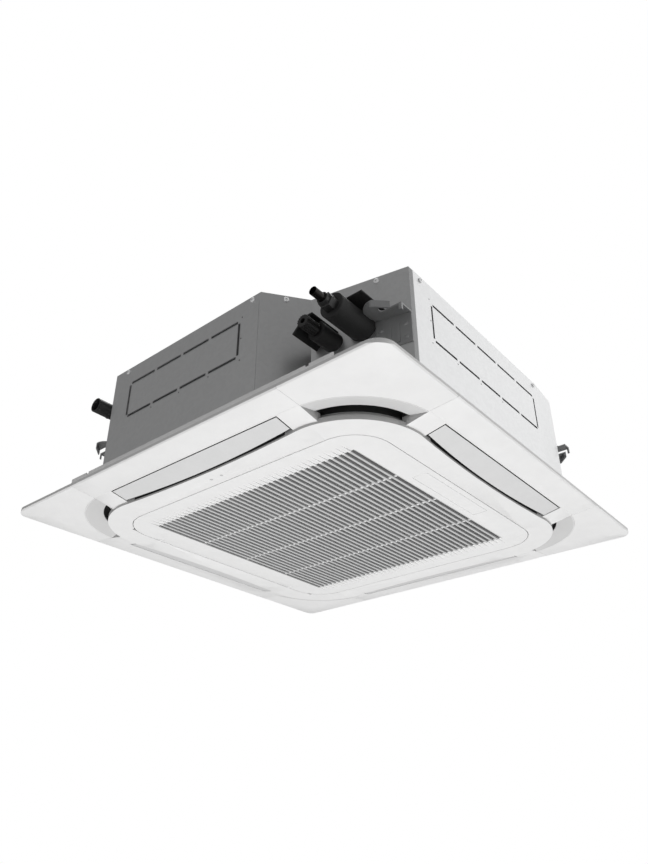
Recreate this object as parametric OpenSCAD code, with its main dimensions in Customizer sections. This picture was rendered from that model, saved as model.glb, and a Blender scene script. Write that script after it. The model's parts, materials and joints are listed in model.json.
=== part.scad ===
// Ceiling cassette air conditioner: a square casing hung from four lugs, with its ceiling panel below.
// The origin is the middle of the four hanger slots, on the underside of the lug plates, with +Z up.
// The refrigerant pipes and the drain stub point along -Y, and the panel's sides follow X and Y.

/* [Casing] */
// Width of the square casing across its flat sides
body_w = 840; // [820:2:850]
// Height of the casing from its bottom flange to the top plate
body_h = 245; // [235:1:300]
// Height of the lug plates above the casing's bottom edge
lug_up = 141.5; // [120:0.5:160]
// Thickness of the casing's sheet steel
sheet_t = 1.2; // [0.8:0.1:1.6]
// Leg of the cut corners
corner_cut = 158; // [140:2:170]
// Width of the flange turned in at the casing's bottom edge
base_flange = 14; // [8:1:16]
// Depth of the flange turned down from the top plate
top_flange = 20; // [14:1:26]

/* [Pipe corner] */
// Length that the pipe corner takes from the front face
recess_w = 249; // [236:1:260]
// Depth of the pipe corner at its bend
recess_d = 78; // [70:1:84]
// Distance from the right face to the bend of the pipe corner
recess_bend = 192.4; // [180:0.2:204]
// Distance from the front face to the pipe corner's end on the right face
recess_end = 118.3; // [110:0.1:126]

/* [Far corner] */
// Distance from the back face to the crease of the right face
far_crease = 230.5; // [200:0.5:240]
// How far the right face bends in at the far corner
far_in = 8; // [0:1:12]
// Leg of the far right cut corner
far_cut = 138; // [120:2:146]

/* [Knock-outs] */
// Distance from the cut corner to the front duct knock-out
ko_front_left = 57; // [47:1:72]
// Distance from the front duct knock-out to the pipe corner
ko_front_right = 53; // [41:1:81]
// Distance from the pipe corner to the side duct knock-out
ko_side_near = 68.7; // [61.7:0.1:91.7]
// Distance from the side duct knock-out to the right face's crease
ko_side_far = 19.5; // [12:0.5:49]
// Height of the duct knock-outs
ko_h = 80.8; // [60:0.2:90]
// Height of the knock-outs' lower edge above the casing's bottom edge
ko_up = 120.2; // [100:0.2:130]
// Width of the slit that frames a knock-out
ko_slit = 2.8; // [1.6:0.1:3]
// Width of the bridges that hold a knock-out
ko_bridge = 8; // [5:1:12]

/* [Hanger brackets] */
// Width of a hanger slot, for an M10 rod
slot_w = 13; // [11:0.5:14]
// Distance from the casing's side face to a slot's round end
slot_in_x = 35; // [28:1:42]
// Distance from the casing's front or back face to a slot
slot_in_y = 80; // [76:1:84]
// Thickness of the lug plates
lug_t = 3; // [2.5:0.5:4]
// Half width of a lug plate across its slot
lug_half = 29; // [24:1:31]
// Depth of the lip turned down at the lug's tines
lug_lip = 11; // [6:1:14]
// Width of the back plate that holds a lug on the casing
back_w = 70; // [60:2:76]
// Height of the back plate below the lug
back_h = 62; // [50:2:80]

/* [Panel] */
// How far the square ceiling panel reaches past the casing
panel_over = 55; // [45:1:65]
// Radius of the panel's corners
panel_r = 32; // [20:1:45]
// Height of the panel's rim
rim_h = 8; // [6:0.5:10]
// Thickness of the panel's skin
skin_t = 3; // [2.5:0.1:3.2]
// How far the skin falls from the rim to the air outlets
skin_fall = 5; // [3:0.5:7]
// Height of the casing's bottom edge above the rim's lower edge
panel_gap_h = 38.5; // [36:0.5:42]
// Distance from the casing's face in to the outlets' outer edge
band_in = 1; // [0.5:0.5:4]
// Radius of the outlets' outer edge at the corners
band_r = 168.5; // [160:0.5:176]
// Depth of the middle frame's face below the rim
ring_drop = 18; // [16:0.5:20]
// Width of the air outlets, from their outer edge to the middle frame
outlet_w = 40.5; // [38:0.5:43]
// Radius of the middle frame's corners
ring_r = 143.5; // [136:0.5:150]
// How far the middle frame's sides bow in
ring_bow = 10; // [6:0.5:12]
// Height of the middle frame's lip
ring_lip = 10; // [8:0.5:11]
// Width of a corner cover along its side
cover_w = 204; // [198:1:210]
// Thickness of a corner cover
cover_t = 2.2; // [1.8:0.1:2.4]
// Height of the set-in wall that goes up into the ceiling
inner_wall_h = 57; // [44:1:60]

/* [Louvers] */
// Thickness of a louver
louver_t = 4; // [3:0.5:4.5]
// Gap around a louver
louver_gap = 2.5; // [2:0.1:3]
// Height of the louvers' inner edge below the rim
louver_fall = 14; // [13:0.5:14.5]
// Width of a louver at its middle, with the gap at its outer edge
louver_w = 46.5; // [45:0.5:47.5]
// How far a louver's inner edge bows
louver_bow = 10.5; // [8:0.5:12]
// Distance from the outlets' outer edge to a louver's pivot
pivot_in = 35; // [33:0.5:36]
// Radius of a louver's pivot pin
pivot_r = 3; // [2.5:0.1:3.5]
// Width of a bridge between a louver and a corner outlet
bridge_w = 50.5; // [46:0.5:50.5]

/* [Intake grille] */
// Width of the middle frame's face, from its edge to the grille
frame_w = 56; // [52:0.5:60]
// Radius of the grille's corners
grille_r = 76.5; // [70:0.5:84]
// Gap between the grille and the middle frame
grille_gap = 1.5; // [1:0.1:2]
// Thickness of the grille's plate
grille_t = 3.5; // [3:0.5:4.5]
// Depth of the slats
slat_h = 8; // [7:0.5:9]
// Number of gaps between the slats
gap_count = 40; // [36:1:42]
// Width of one gap
gap_w = 8; // [6:0.5:9]
// Distance from the grille's edge to the row of gaps
gap_side = 58.5; // [54:0.5:72]
// Distance from the grille's edge to the ends of the gaps
gap_in = 59.5; // [54:0.5:72]
// Length of the ramp that fades a gap out at each end
gap_ramp = 30; // [20:1:32]
// Width of the ribs across the slats
rib_w = 5; // [4:0.5:7]
// Number of ribs across the slats
rib_count = 3; // [2:1:4]
// Length of the latch plate
latch_l = 221; // [180:1:230]
// Width of the latch plate
latch_w = 31; // [26:1:33]

/* [Air path] */
// Distance from the fan's rim in to the bell mouth's throat
throat_in = 60; // [57:1:75]
// Gap between the turbo fan and the heat exchanger
fan_gap = 45; // [42:1:55]
// Distance from the top plate down to the fan's upper edge
fan_down = 63.5; // [60:0.5:72]
// Height of the fan's lower edge above the casing's bottom edge
fan_up = 49.5; // [48:0.5:58]
// Number of fan blades
blade_count = 7; // [5:1:9]
// Distance from the casing's face to the heat exchanger
coil_in = 112; // [108:1:118]
// Thickness of the heat exchanger
coil_t = 38; // [28:1:40]
// Outer radius of the heat exchanger's bends
coil_r = 120; // [100:1:140]
// Thickness of the foam liner
liner_t = 13; // [8:1:14]
// Height of the foam drain pan
pan_h = 42; // [38:1:46]

/* [Pipes] */
// Outer diameter of the gas pipe
gas_d = 15.88; // [12.7:0.01:15.88]
// Outer diameter of the liquid pipe
liquid_d = 9.52; // [6.35:0.01:9.52]
// Outer diameter of the gas pipe's foam sleeve
gas_foam_d = 49; // [40:1:52]
// Outer diameter of the liquid pipe's foam sleeve
liquid_foam_d = 37; // [30:1:40]
// Distance from the right face to the gas pipe
gas_in = 91; // [86:1:94]
// Height of the gas pipe below the lugs
gas_down = 4; // [0:1:8]
// Distance from the right face to the liquid pipe
liquid_in = 148; // [146:1:152]
// Height of the liquid pipe below the lugs
liquid_down = 13; // [10:1:18]
// Outer diameter of the drain stub
drain_d = 32; // [26:1:34]
// Distance from the left face to the drain stub
drain_in = 115; // [110:1:120]
// Height of the drain stub above the lugs
drain_up = 41; // [36:1:46]

/* [Hidden] */

// Steps of round faces
round_fn = 96;
pin_fn = 48;
bow_fn = 400;
// Overrun of a cut past the face that it opens
cut = 1;
// Gap between pieces that sit in each other without a fit
slip = 0.3;
// Radial clearance of a pin that turns in its bore
run_gap = 0.05;

// Levels
z_bot = -lug_up;
z_top = z_bot + body_h;
z_rim = z_bot - panel_gap_h;
h = body_w / 2;
pan_top = z_bot + pan_h;

// Places worked out from the casing's faces inwards
slot_x = h - slot_in_x;
slot_y = h - slot_in_y;
gas_x = h - gas_in;
liquid_x = h - liquid_in;
drain_x = h - drain_in;
coil_half = h - coil_in;
fan_r = coil_half - coil_t - fan_gap;
throat_r = fan_r - throat_in;
ko_front_from = h - corner_cut - ko_front_left;
ko_front_to = h - recess_w - ko_front_right;
ko_side_from = h - recess_end - ko_side_near;
ko_side_to = h - far_crease - ko_side_far;

// Places worked out from the panel's edge and the outlets' outer edge inwards
panel_half = h + panel_over;
panel_w = 2 * panel_half;
cover_from = panel_half - cover_w;
bridge_to = cover_from;
bridge_from = bridge_to - bridge_w;
louver_l = 2 * (bridge_from - louver_gap);
band_half = h - band_in;
louver_in = band_half - louver_w;
pivot_y = band_half - pivot_in;
ring_half = band_half - outlet_w;
grille_half = ring_half - frame_w;
gap_half = grille_half - gap_in;
gap_pitch = 2 * (grille_half - gap_side) / gap_count;

// Colours
steel_colour = "#8c8e90";
panel_colour = "#e6e7e7";
louver_colour = "#d2d4d4";
foam_colour = "#1d1d1f";
inner_foam_colour = "#d8dad6";
copper_colour = "#b87333";

// The casing's outline at its outer face, anticlockwise from the left end of the front face.
casing_points = [
    [-h + corner_cut, -h], [h - recess_w, -h], [h - recess_bend, -h + recess_d], [h, -h + recess_end],
    [h, h - far_crease], [h - far_in, h - far_cut], [h - far_cut, h - far_in], [h - far_crease, h],
    [-h + corner_cut, h], [-h, h - corner_cut], [-h, -h + corner_cut]];

function unit(v) = v / norm(v);
function left_of(v) = [-v[1], v[0]];
// An outline moved in by d, with its corners mitred.
function inset(pts, d) = [for (i = [0 : len(pts) - 1])
    let (a = pts[(i + len(pts) - 1) % len(pts)], b = pts[i], c = pts[(i + 1) % len(pts)],
        u = left_of(unit(b - a)), v = left_of(unit(c - b)))
    b + d * (u + v) / (1 + u * v)];
function casing_inset(d) = inset(casing_points, d);
function turned(i) = i * 90;

module rounded_square(half, r) {
    square([2 * half, 2 * (half - r)], center = true);
    square([2 * (half - r), 2 * half], center = true);
    for (sx = [-1, 1], sy = [-1, 1])
        translate([sx * (half - r), sy * (half - r)]) circle(r = r, $fn = round_fn);
}

// A profile in Y and Z, drawn out along X.
module along_x(length) {
    rotate([90, 0, 90]) linear_extrude(length, center = true) children();
}

// A profile in X and Z, drawn out along Y.
module along_y(length) {
    rotate([90, 0, 0]) linear_extrude(length, center = true) children();
}

module layer(z, height) {
    translate([0, 0, z]) linear_extrude(height) children();
}

module at_rim() {
    translate([0, 0, z_rim]) children();
}

// A rod along Y from y_front to y_back.
module rod_y(x, z, r, y_front, y_back) {
    translate([x, y_back, z]) rotate([90, 0, 0]) cylinder(h = y_back - y_front, r = r, $fn = pin_fn);
}

// Casing sheet metal

// A stretch of the casing's wall from corner i to corner j.
module wall_run(i, j, outer, inner) {
    a = casing_inset(outer);
    b = casing_inset(inner);
    n = len(a);
    polygon(concat([for (k = [i : j]) a[k % n]], [for (k = [j : -1 : i]) b[k % n]]));
}

module side_sheet(i, j) {
    layer(z_bot, body_h - sheet_t) wall_run(i, j, 0, sheet_t);
    layer(z_bot, sheet_t) wall_run(i, j, 0, base_flange);
}

module ko_holes(from, to, count) {
    w = to - from;
    bay = w / count;
    z = z_bot + ko_up;
    for (k = [0 : count - 1], level = [0, ko_h])
        translate([from + k * bay + ko_bridge / 2, -cut, z + level - ko_slit / 2])
            cube([bay - ko_bridge, cut + 2 * sheet_t, ko_slit]);
    for (side = [from, to])
        translate([side - ko_slit / 2, -cut, z + ko_bridge / 2])
            cube([ko_slit, cut + 2 * sheet_t, ko_h - ko_bridge]);
}

// Small pilot holes beside a knock-out.
pilot_r = 1.5;
pilot_drop = 9;
pilot_step = 49;

module pilot_holes(x, below_from, count, step) {
    for (k = [0 : 2]) translate([x, cut + sheet_t, z_bot + ko_up - pilot_drop + k * pilot_step])
        rotate([90, 0, 0]) cylinder(h = 2 * cut + sheet_t, r = pilot_r, $fn = pin_fn);
    for (k = [0 : count - 1]) translate([below_from + k * step, cut + sheet_t, z_bot + ko_up - pilot_drop])
        rotate([90, 0, 0]) cylinder(h = 2 * cut + sheet_t, r = pilot_r, $fn = pin_fn);
}

front_bays = 4;
side_bays = 5;
pilot_out = 6.5;
front_pilot_step = 83;
side_pilot_step = 84;

// Screws of the casing: each one's place on a face, and the face's turn.
screw_r = 2;
screw_head_r = 4.5;
screw_head_h = 1.8;
screw_l = 8;
screw_down = 9;
screw_in_left = 42.4;
screw_in_right = 20.2;
screw_in_side = 36.1;
screw_in_crease = 9;
left_screw = -h + corner_cut + screw_in_left;
crease_screw = h - far_crease - screw_in_crease;
pipe_screw_share = 0.5;
bend_screw_share = 0.68;
recess_bend_depth = recess_end - recess_d;

function mid_share(a, b, share) = a + (b - a) * share;
pipe_turn = atan2(recess_bend_depth, recess_bend);
recess_turn = atan2(recess_d, recess_w - recess_bend);
screw_places = concat(
    [for (x = [left_screw, h - recess_w - screw_in_right]) [[x, -h], 0]],
    [for (y = [-h + recess_end + screw_in_side, crease_screw]) [[h, y], 90]],
    [for (x = [left_screw, 0, crease_screw]) [[x, h], 180]],
    [for (y = [left_screw, 0, -left_screw]) [[-h, y], 270]],
    [[mid_share(casing_points[2], casing_points[3], bend_screw_share), pipe_turn]],
    [[mid_share(casing_points[1], casing_points[2], pipe_screw_share), recess_turn]]);

// Each place holds a head just outside the face, with its shank pointing in.
module at_screws() {
    for (s = screw_places)
        translate([s[0][0], s[0][1], z_top - screw_down]) rotate([0, 0, s[1]]) children();
}

module screw_holes() {
    at_screws() rotate([-90, 0, 0])
        translate([0, 0, -cut]) cylinder(h = screw_l, r = screw_r + slip / 2, $fn = pin_fn);
}

module pipe_holes() {
    rod_y(gas_x, -gas_down, gas_foam_d / 2 + slip, -h, -h + recess_w);
    rod_y(liquid_x, -liquid_down, liquid_foam_d / 2 + slip, -h, -h + recess_w);
}

module drain_hole() {
    rod_y(-drain_x, drain_up, drain_d / 2 + slip, -h - cut, -h + corner_cut);
}

module side_plate_front() {
    color(steel_colour) difference() {
        side_sheet(0, 2);
        translate([0, -h, 0]) {
            ko_holes(-ko_front_from, ko_front_to, front_bays);
            pilot_holes(ko_front_to + pilot_out, ko_front_to + pilot_out - 3 * front_pilot_step, 3,
                front_pilot_step);
        }
        screw_holes();
    }
}

module side_plate_pipe() {
    color(steel_colour) difference() {
        side_sheet(2, 3);
        pipe_holes();
        screw_holes();
    }
}

module side_plate_right() {
    color(steel_colour) difference() {
        side_sheet(3, 6);
        rotate([0, 0, 90]) translate([0, -h, 0]) {
            ko_holes(-ko_side_from, ko_side_to, side_bays);
            pilot_holes(-ko_side_from - pilot_out, -ko_side_from + side_pilot_step - pilot_out, 3,
                side_pilot_step);
        }
        screw_holes();
    }
}

module side_plate_back() {
    color(steel_colour) difference() {
        side_sheet(6, 9);
        rotate([0, 0, 180]) translate([0, -h, 0]) ko_holes(-ko_side_to, ko_side_to, front_bays);
        rod_y(bush_x, bush_z, bush_r + slip / 2, h - base_flange, h + cut);
        screw_holes();
    }
}

module side_plate_left() {
    color(steel_colour) difference() {
        side_sheet(9, 11);
        rotate([0, 0, 270]) translate([0, -h, 0]) ko_holes(-ko_side_to, ko_side_to, front_bays);
        drain_hole();
        screw_holes();
    }
}

// Pressed beads that stiffen the top plate.
bead_h = 4;
bead_w = 22;
bead_in = 35;
bead_r = fan_r - bead_in;
rib_reach_share = 0.86;

module top_plate() {
    color(steel_colour) difference() {
        union() {
            layer(z_top - sheet_t, sheet_t) polygon(casing_points);
            layer(z_top - sheet_t - top_flange, top_flange) difference() {
                polygon(casing_inset(sheet_t));
                polygon(casing_inset(2 * sheet_t));
            }
            layer(z_top, bead_h) difference() {
                circle(r = bead_r, $fn = round_fn);
                circle(r = bead_r - bead_w, $fn = round_fn);
            }
            for (i = [0 : 3]) rotate([0, 0, turned(i)])
                translate([bead_r - bead_w / 2, -bead_w / 2, z_top])
                    cube([h * rib_reach_share - bead_r, bead_w, bead_h]);
        }
        screw_holes();
    }
}

module casing_screws() {
    color("silver") at_screws() rotate([90, 0, 0]) {
        cylinder(h = screw_head_h, r = screw_head_r, $fn = pin_fn);
        translate([0, 0, -screw_l + cut + sheet_t])
            cylinder(h = screw_l - cut - sheet_t, r = screw_r, $fn = pin_fn);
    }
}

glue_t = 0.05;

// The board behind wall i, on its film of glue and drawn back a little from its neighbours at the mitres.
module liner_board(i) {
    a = casing_inset(sheet_t + glue_t);
    b = casing_inset(sheet_t + liner_t);
    n = (i + 1) % len(a);
    back = unit(a[n] - a[i]) * slip / 2;
    polygon([a[i] + back, a[n] - back, b[n] - back, b[i] + back]);
}

module foam_liner() {
    color(inner_foam_colour) difference() {
        layer(pan_top, z_top - sheet_t - top_flange - pan_top)
            for (i = [0 : len(casing_points) - 1]) liner_board(i);
        pipe_holes();
        drain_hole();
        rod_y(bush_x, bush_z, bush_r + slip / 2, h - base_flange - liner_t, h);
    }
}

top_ins_t = 10;
motor_clear = 22;

module top_insulation() {
    color(inner_foam_colour) difference() {
        layer(z_top - sheet_t - top_ins_t, top_ins_t) difference() {
            polygon(casing_inset(2 * sheet_t));
            circle(r = plate_r + motor_clear, $fn = round_fn);
        }
        screw_holes();
    }
}

// A bush for the supply cable, in the back face.
bush_x = 120;
bush_z = -60;
bush_r = 14;
bush_bore = 9;
bush_rim_r = 18;
bush_rim_t = 3;

module cable_bush() {
    color("#202022") difference() {
        union() {
            rod_y(bush_x, bush_z, bush_r, h - sheet_t - liner_t, h + bush_rim_t);
            rod_y(bush_x, bush_z, bush_rim_r, h, h + bush_rim_t);
        }
        rod_y(bush_x, bush_z, bush_bore, h - sheet_t - liner_t - cut, h + bush_rim_t + cut);
    }
}

// Hanger brackets

lug_to = h - slip;
lug_back_share = 1 / 3;
lug_from = slot_x - lug_half - slot_w * lug_back_share;
back_t = 2;
mouth_l = 27;
lug_sum = slot_x + slot_y + mouth_l;

module corner_side(sum) {
    polygon([[0, 0], [sum, 0], [0, sum]]);
}

// The lug in its own corner, with a slanting outer edge and its slot open there.
module lug_outline() {
    difference() {
        intersection() {
            corner_side(lug_sum);
            union() {
                translate([lug_from + lug_half, slot_y]) circle(r = lug_half, $fn = round_fn);
                translate([lug_from + lug_half, slot_y - lug_half])
                    square([lug_to - lug_from - lug_half, 2 * lug_half]);
            }
        }
        translate([slot_x, slot_y]) circle(r = slot_w / 2, $fn = pin_fn);
        translate([slot_x, slot_y - slot_w / 2]) square([lug_to - slot_x + cut, slot_w]);
    }
}

// The lips turned down along the slanting edge, on both sides of the slot.
module lug_lips() {
    layer(-lug_lip, lug_lip) difference() {
        lug_outline();
        corner_side(lug_sum - lug_t * sqrt(2));
    }
}

// A cut corner's bracket: a back plate flat against the corner, and the lug that stands out from it.
module corner_bracket(cut_sum) {
    difference() {
        union() {
            layer(0, lug_t) lug_outline();
            lug_lips();
            translate([cut_sum / 2, cut_sum / 2, 0]) rotate([0, 0, -45])
                translate([(slot_x - slot_y) / sqrt(2) - back_w / 2, 0, 0]) {
                    translate([0, 0, -back_h]) cube([back_w, back_t, back_h + lug_t]);
                    cube([back_w, (slot_x + slot_y - cut_sum) / 2, lug_t]);
                }
        }
        layer(-back_h - cut, back_h + lug_t + 2 * cut) corner_side(cut_sum);
        translate([slot_x, slot_y, -back_h]) cylinder(h = back_h + lug_t + cut, r = slot_w / 2, $fn = pin_fn);
        layer(-lug_lip - cut, lug_lip + lug_t + 2 * cut)
            translate([slot_x, slot_y - slot_w / 2]) square([lug_to - slot_x + cut, slot_w]);
    }
}

// The pipe corner's bracket stands on the face that the pipes leave.
module pipe_bracket() {
    difference() {
        union() {
            mirror([0, 1, 0]) {
                layer(0, lug_t) lug_outline();
                layer(0, lug_t) translate([lug_from + lug_half, 0])
                    square([lug_to - lug_from - lug_half, slot_y - slot_w]);
                lug_lips();
            }
            layer(-back_h, back_h + lug_t) intersection() {
                translate([gas_x + gas_foam_d / 2 + 2 * slip, -h])
                    square([lug_to - gas_x - gas_foam_d / 2 - 2 * slip, h]);
                polygon([casing_points[2], casing_points[2] - [0, back_t], casing_points[3] - [0, back_t],
                    casing_points[3]]);
            }
        }
        layer(-back_h - cut, back_h + lug_t + 2 * cut) polygon(casing_points);
        pipe_holes();
        translate([slot_x, -slot_y, -cut]) cylinder(h = lug_t + 2 * cut, r = slot_w / 2, $fn = pin_fn);
    }
}

straight_cut_sum = 2 * h - corner_cut;
far_cut_sum = 2 * h - far_cut - far_in;

module hanger_bracket_1() {
    color(steel_colour) pipe_bracket();
}

module hanger_bracket_2() {
    color(steel_colour) corner_bracket(far_cut_sum);
}

module hanger_bracket_3() {
    color(steel_colour) mirror([1, 0, 0]) corner_bracket(straight_cut_sum);
}

module hanger_bracket_4() {
    color(steel_colour) rotate([0, 0, 180]) corner_bracket(straight_cut_sum);
}

// Heat exchanger and refrigerant pipes

trough_d = 12;
trough_margin = 6;
coil_bottom = pan_top - trough_d;
coil_top = z_top - sheet_t - top_ins_t;
coil_open_in = 108;
coil_open = coil_half - coil_open_in;
end_plate_t = 1.5;
end_plate_over = 2;
bend_tube_r = 4;
bend_r = 10.5;
bend_rows = 2;
bend_count = 4;
bend_pitch = (coil_top - coil_bottom) / bend_count;

module coil_outline() {
    difference() {
        rounded_square(coil_half, coil_r);
        rounded_square(coil_half - coil_t, coil_r - coil_t);
        translate([coil_open, -coil_half - cut]) square([coil_half, coil_half - coil_open + cut]);
    }
}

module heat_exchanger() {
    color("#c9ccce") layer(coil_bottom, coil_top - coil_bottom) coil_outline();
}

// The plates at the ends of the fins, and the sheet that closes the gap between them.
module coil_end_plates() {
    color("silver") layer(coil_bottom, coil_top - coil_bottom) {
        translate([coil_open, -coil_half]) square([end_plate_t, coil_t + end_plate_over]);
        translate([coil_half - coil_t - end_plate_over, -coil_open - end_plate_t])
            square([coil_t + end_plate_over, end_plate_t]);
    }
    color("silver") layer(pan_top, coil_top - pan_top) {
        polygon([
            [coil_open, -coil_half + coil_t + end_plate_over - end_plate_t],
            [coil_half - coil_t - end_plate_over + end_plate_t, -coil_open - end_plate_t],
            [coil_half - coil_t - end_plate_over, -coil_open - end_plate_t],
            [coil_open, -coil_half + coil_t + end_plate_over]]);
    }
}

module bend_stack() {
    for (k = [0 : bend_count - 1], row = [0 : bend_rows - 1])
        translate([0, (row + 1) * coil_t / (bend_rows + 1), coil_bottom + (k + 1 / 2) * bend_pitch])
            rotate([0, -90, -90]) rotate_extrude(angle = 180, $fn = round_fn)
                translate([bend_r, 0]) circle(r = bend_tube_r, $fn = pin_fn);
}

module return_bends() {
    color(copper_colour) {
        translate([coil_open + end_plate_t, -coil_half, 0]) bend_stack();
        translate([coil_half - coil_t, -coil_open - end_plate_t, 0]) rotate([0, 0, -90]) bend_stack();
    }
}

header_r = 9.5;
header_in = 46;
header_y = -coil_half + header_in;
header_h = 160;
feed_r = 6;
feed_in = 54;
feed_y = -coil_half + feed_in;
feed_h = 120;
link_r = 4;
tube_t = 1;
link_run = [coil_half - coil_t / 2 - gas_x, -coil_open - header_y];
link_turn = atan2(link_run[1], link_run[0]);
link_l = norm(link_run) - 2 * link_r;

// The two upright tubes that the pipes join, with their short links to the coil.
module coil_header() {
    color(copper_colour) {
        difference() {
            union() {
                translate([gas_x, header_y, coil_bottom + trough_d])
                    cylinder(h = header_h, r = header_r, $fn = pin_fn);
                for (k = [1 : bend_count - 1]) translate([gas_x, header_y, coil_bottom + k * bend_pitch])
                    rotate([0, 0, link_turn]) rotate([0, 90, 0]) cylinder(h = link_l, r = link_r, $fn = pin_fn);
            }
            rod_y(gas_x, -gas_down, gas_d / 2 + slip, header_y - 2 * header_r, header_y);
        }
        difference() {
            translate([liquid_x, feed_y, coil_bottom + trough_d]) cylinder(h = feed_h, r = feed_r, $fn = pin_fn);
            rod_y(liquid_x, -liquid_down, liquid_d / 2 + slip, feed_y - 2 * feed_r, feed_y);
        }
    }
}

// Ends of the pipes and sleeves, from the front face: out past it, or in behind it.
gas_reach = 36;
gas_foam_end_in = 12;
gas_foam_start_in = 114;
liquid_foam_end_in = 40;
liquid_foam_start_in = 102;
gas_end = -h - gas_reach;
gas_foam_end = -h + gas_foam_end_in;
gas_foam_start = -h + gas_foam_start_in;
liquid_foam_end = -h + liquid_foam_end_in;
liquid_foam_start = -h + liquid_foam_start_in;

module tube_y(x, z, r, bore, y_front, y_back) {
    difference() {
        rod_y(x, z, r, y_front, y_back);
        rod_y(x, z, bore, y_front - cut, y_back + cut);
    }
}

gas_nut_r = 15.6;
gas_nut_l = 17;
gas_collar_r = 11;
gas_collar_l = 8;
gas_stub_from = gas_foam_end - gas_nut_l - gas_collar_l;
pipe_bead_h = 1;
pipe_bead_l = 2;

// The gas pipe has a bead in front of the nut's collar, where its free stub starts.
module gas_pipe() {
    color(copper_colour) difference() {
        union() {
            rod_y(gas_x, -gas_down, gas_d / 2, gas_end, header_y);
            rod_y(gas_x, -gas_down, gas_d / 2 + pipe_bead_h, gas_stub_from - pipe_bead_l, gas_stub_from);
        }
        rod_y(gas_x, -gas_down, gas_d / 2 - tube_t, gas_end - cut, header_y + cut);
    }
}

liquid_nut_r = 12.5;
liquid_nut_l = 36;
liquid_socket_l = 12;
liquid_nut_end = liquid_foam_end - liquid_nut_l;
liquid_end = liquid_nut_end + liquid_socket_l;

module liquid_pipe() {
    color(copper_colour)
        tube_y(liquid_x, -liquid_down, liquid_d / 2, liquid_d / 2 - tube_t, liquid_end + slip, feed_y);
}

module gas_foam_sleeve() {
    color(foam_colour) tube_y(gas_x, -gas_down, gas_foam_d / 2, gas_d / 2 + slip, gas_foam_end, gas_foam_start);
}

module liquid_foam_sleeve() {
    color(foam_colour)
        tube_y(liquid_x, -liquid_down, liquid_foam_d / 2, liquid_d / 2 + slip, liquid_foam_end, liquid_foam_start);
}

module gas_flare_nut() {
    color("#2a2a2c") difference() {
        union() {
            translate([gas_x, gas_foam_end, -gas_down]) rotate([90, 0, 0])
                cylinder(h = gas_nut_l, r = gas_nut_r, $fn = 6);
            rod_y(gas_x, -gas_down, gas_collar_r, gas_stub_from, gas_foam_end - gas_nut_l);
        }
        rod_y(gas_x, -gas_down, gas_d / 2 + slip / 2, gas_stub_from - cut, gas_foam_end + cut);
    }
}

nut_web = 5;
nut_ribs = 16;
nut_rib_w = 2.4;
nut_rib_h = 1.2;
nut_relief = 1.5;

// The ribbed cap over the liquid pipe's end, with a socket for the pipe that joins it.
module liquid_flare_nut() {
    color("#242426") difference() {
        union() {
            rod_y(liquid_x, -liquid_down, liquid_nut_r - nut_rib_h, liquid_nut_end, liquid_foam_end);
            for (k = [0 : nut_ribs - 1])
                translate([liquid_x, liquid_nut_end, -liquid_down]) rotate([0, k * 360 / nut_ribs, 0])
                    translate([-nut_rib_w / 2, 0, 0]) cube([nut_rib_w, liquid_nut_l - nut_web, liquid_nut_r]);
        }
        rod_y(liquid_x, -liquid_down, liquid_d / 2 + slip / 2, liquid_nut_end - cut, liquid_end);
        rod_y(liquid_x, -liquid_down, liquid_d / 2 + nut_relief, liquid_end, liquid_foam_end + cut);
    }
}

pad_t = 3;
gas_pad_half = 34;
gas_pad_off = 10;
gas_pad_to = gas_x + gas_pad_half + gas_pad_off;
gas_pad_from = gas_x - gas_pad_half + gas_pad_off;
gas_pad_in = 39;
gas_pad_out = h - gas_pad_in;
liquid_pad_in = 17;
liquid_pad_out = h - liquid_pad_in;
pad_drop = 26;
pad_slope = 25;
pad_over = 8;
pad_flat = 18;

// Two foam flaps that lie over the pipes at the casing, flat on one pipe and drooping beside the other.
module pipe_wrap_pads() {
    gas_z = -gas_down + gas_foam_d / 2 + slip;
    liquid_z = -liquid_down + liquid_foam_d / 2 + slip;
    crest = liquid_x - pad_over;
    color(foam_colour) difference() {
        union() {
            translate([gas_pad_from, -gas_pad_out, gas_z]) cube([gas_pad_to - gas_pad_from, recess_d, pad_t]);
            intersection() {
                translate([0, -liquid_pad_out / 2 - h / 2, 0]) along_y(liquid_pad_out - recess_d) polygon([
                    [crest + pad_flat, liquid_z], [crest, liquid_z], [crest - pad_slope, liquid_z - pad_drop],
                    [crest - pad_slope - pad_t, liquid_z - pad_drop + pad_t], [crest - pad_t / 2, liquid_z + pad_t],
                    [crest + pad_flat, liquid_z + pad_t]]);
                translate([0, -liquid_pad_out, -h]) cube([h, recess_d, body_w]);
            }
        }
        layer(z_bot, body_h) polygon(casing_points);
    }
}

// Drain pan, pump and float switch

pan_hole_gap = 10;
pan_hole_r = fan_r + pan_hole_gap;
duct_back = 12.5;
side_duct_w = 12;
duct_lap = 3;
inner_duct_half = ring_half - duct_back;
inner_duct_r = ring_r - duct_back;
side_duct_in = band_half - side_duct_w;
duct_in = inner_duct_half;
duct_out = side_duct_in - duct_lap;
duct_half = louver_l / 2 - duct_lap;
pump_r = 25;
pump_off = 112;
pump_at = [-coil_half + coil_r - pump_off, -coil_half + coil_r - pump_off];
float_off = [-42, 38];
float_at = pump_at + float_off;
sump_r = 28;
sump_d = 14;
float_pit_r = 16;
float_pit_d = 8;

module outlet_slots(from, to, half) {
    for (i = [0 : 3]) rotate([0, 0, turned(i)]) translate([-half, -to]) square([2 * half, to - from]);
}

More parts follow.
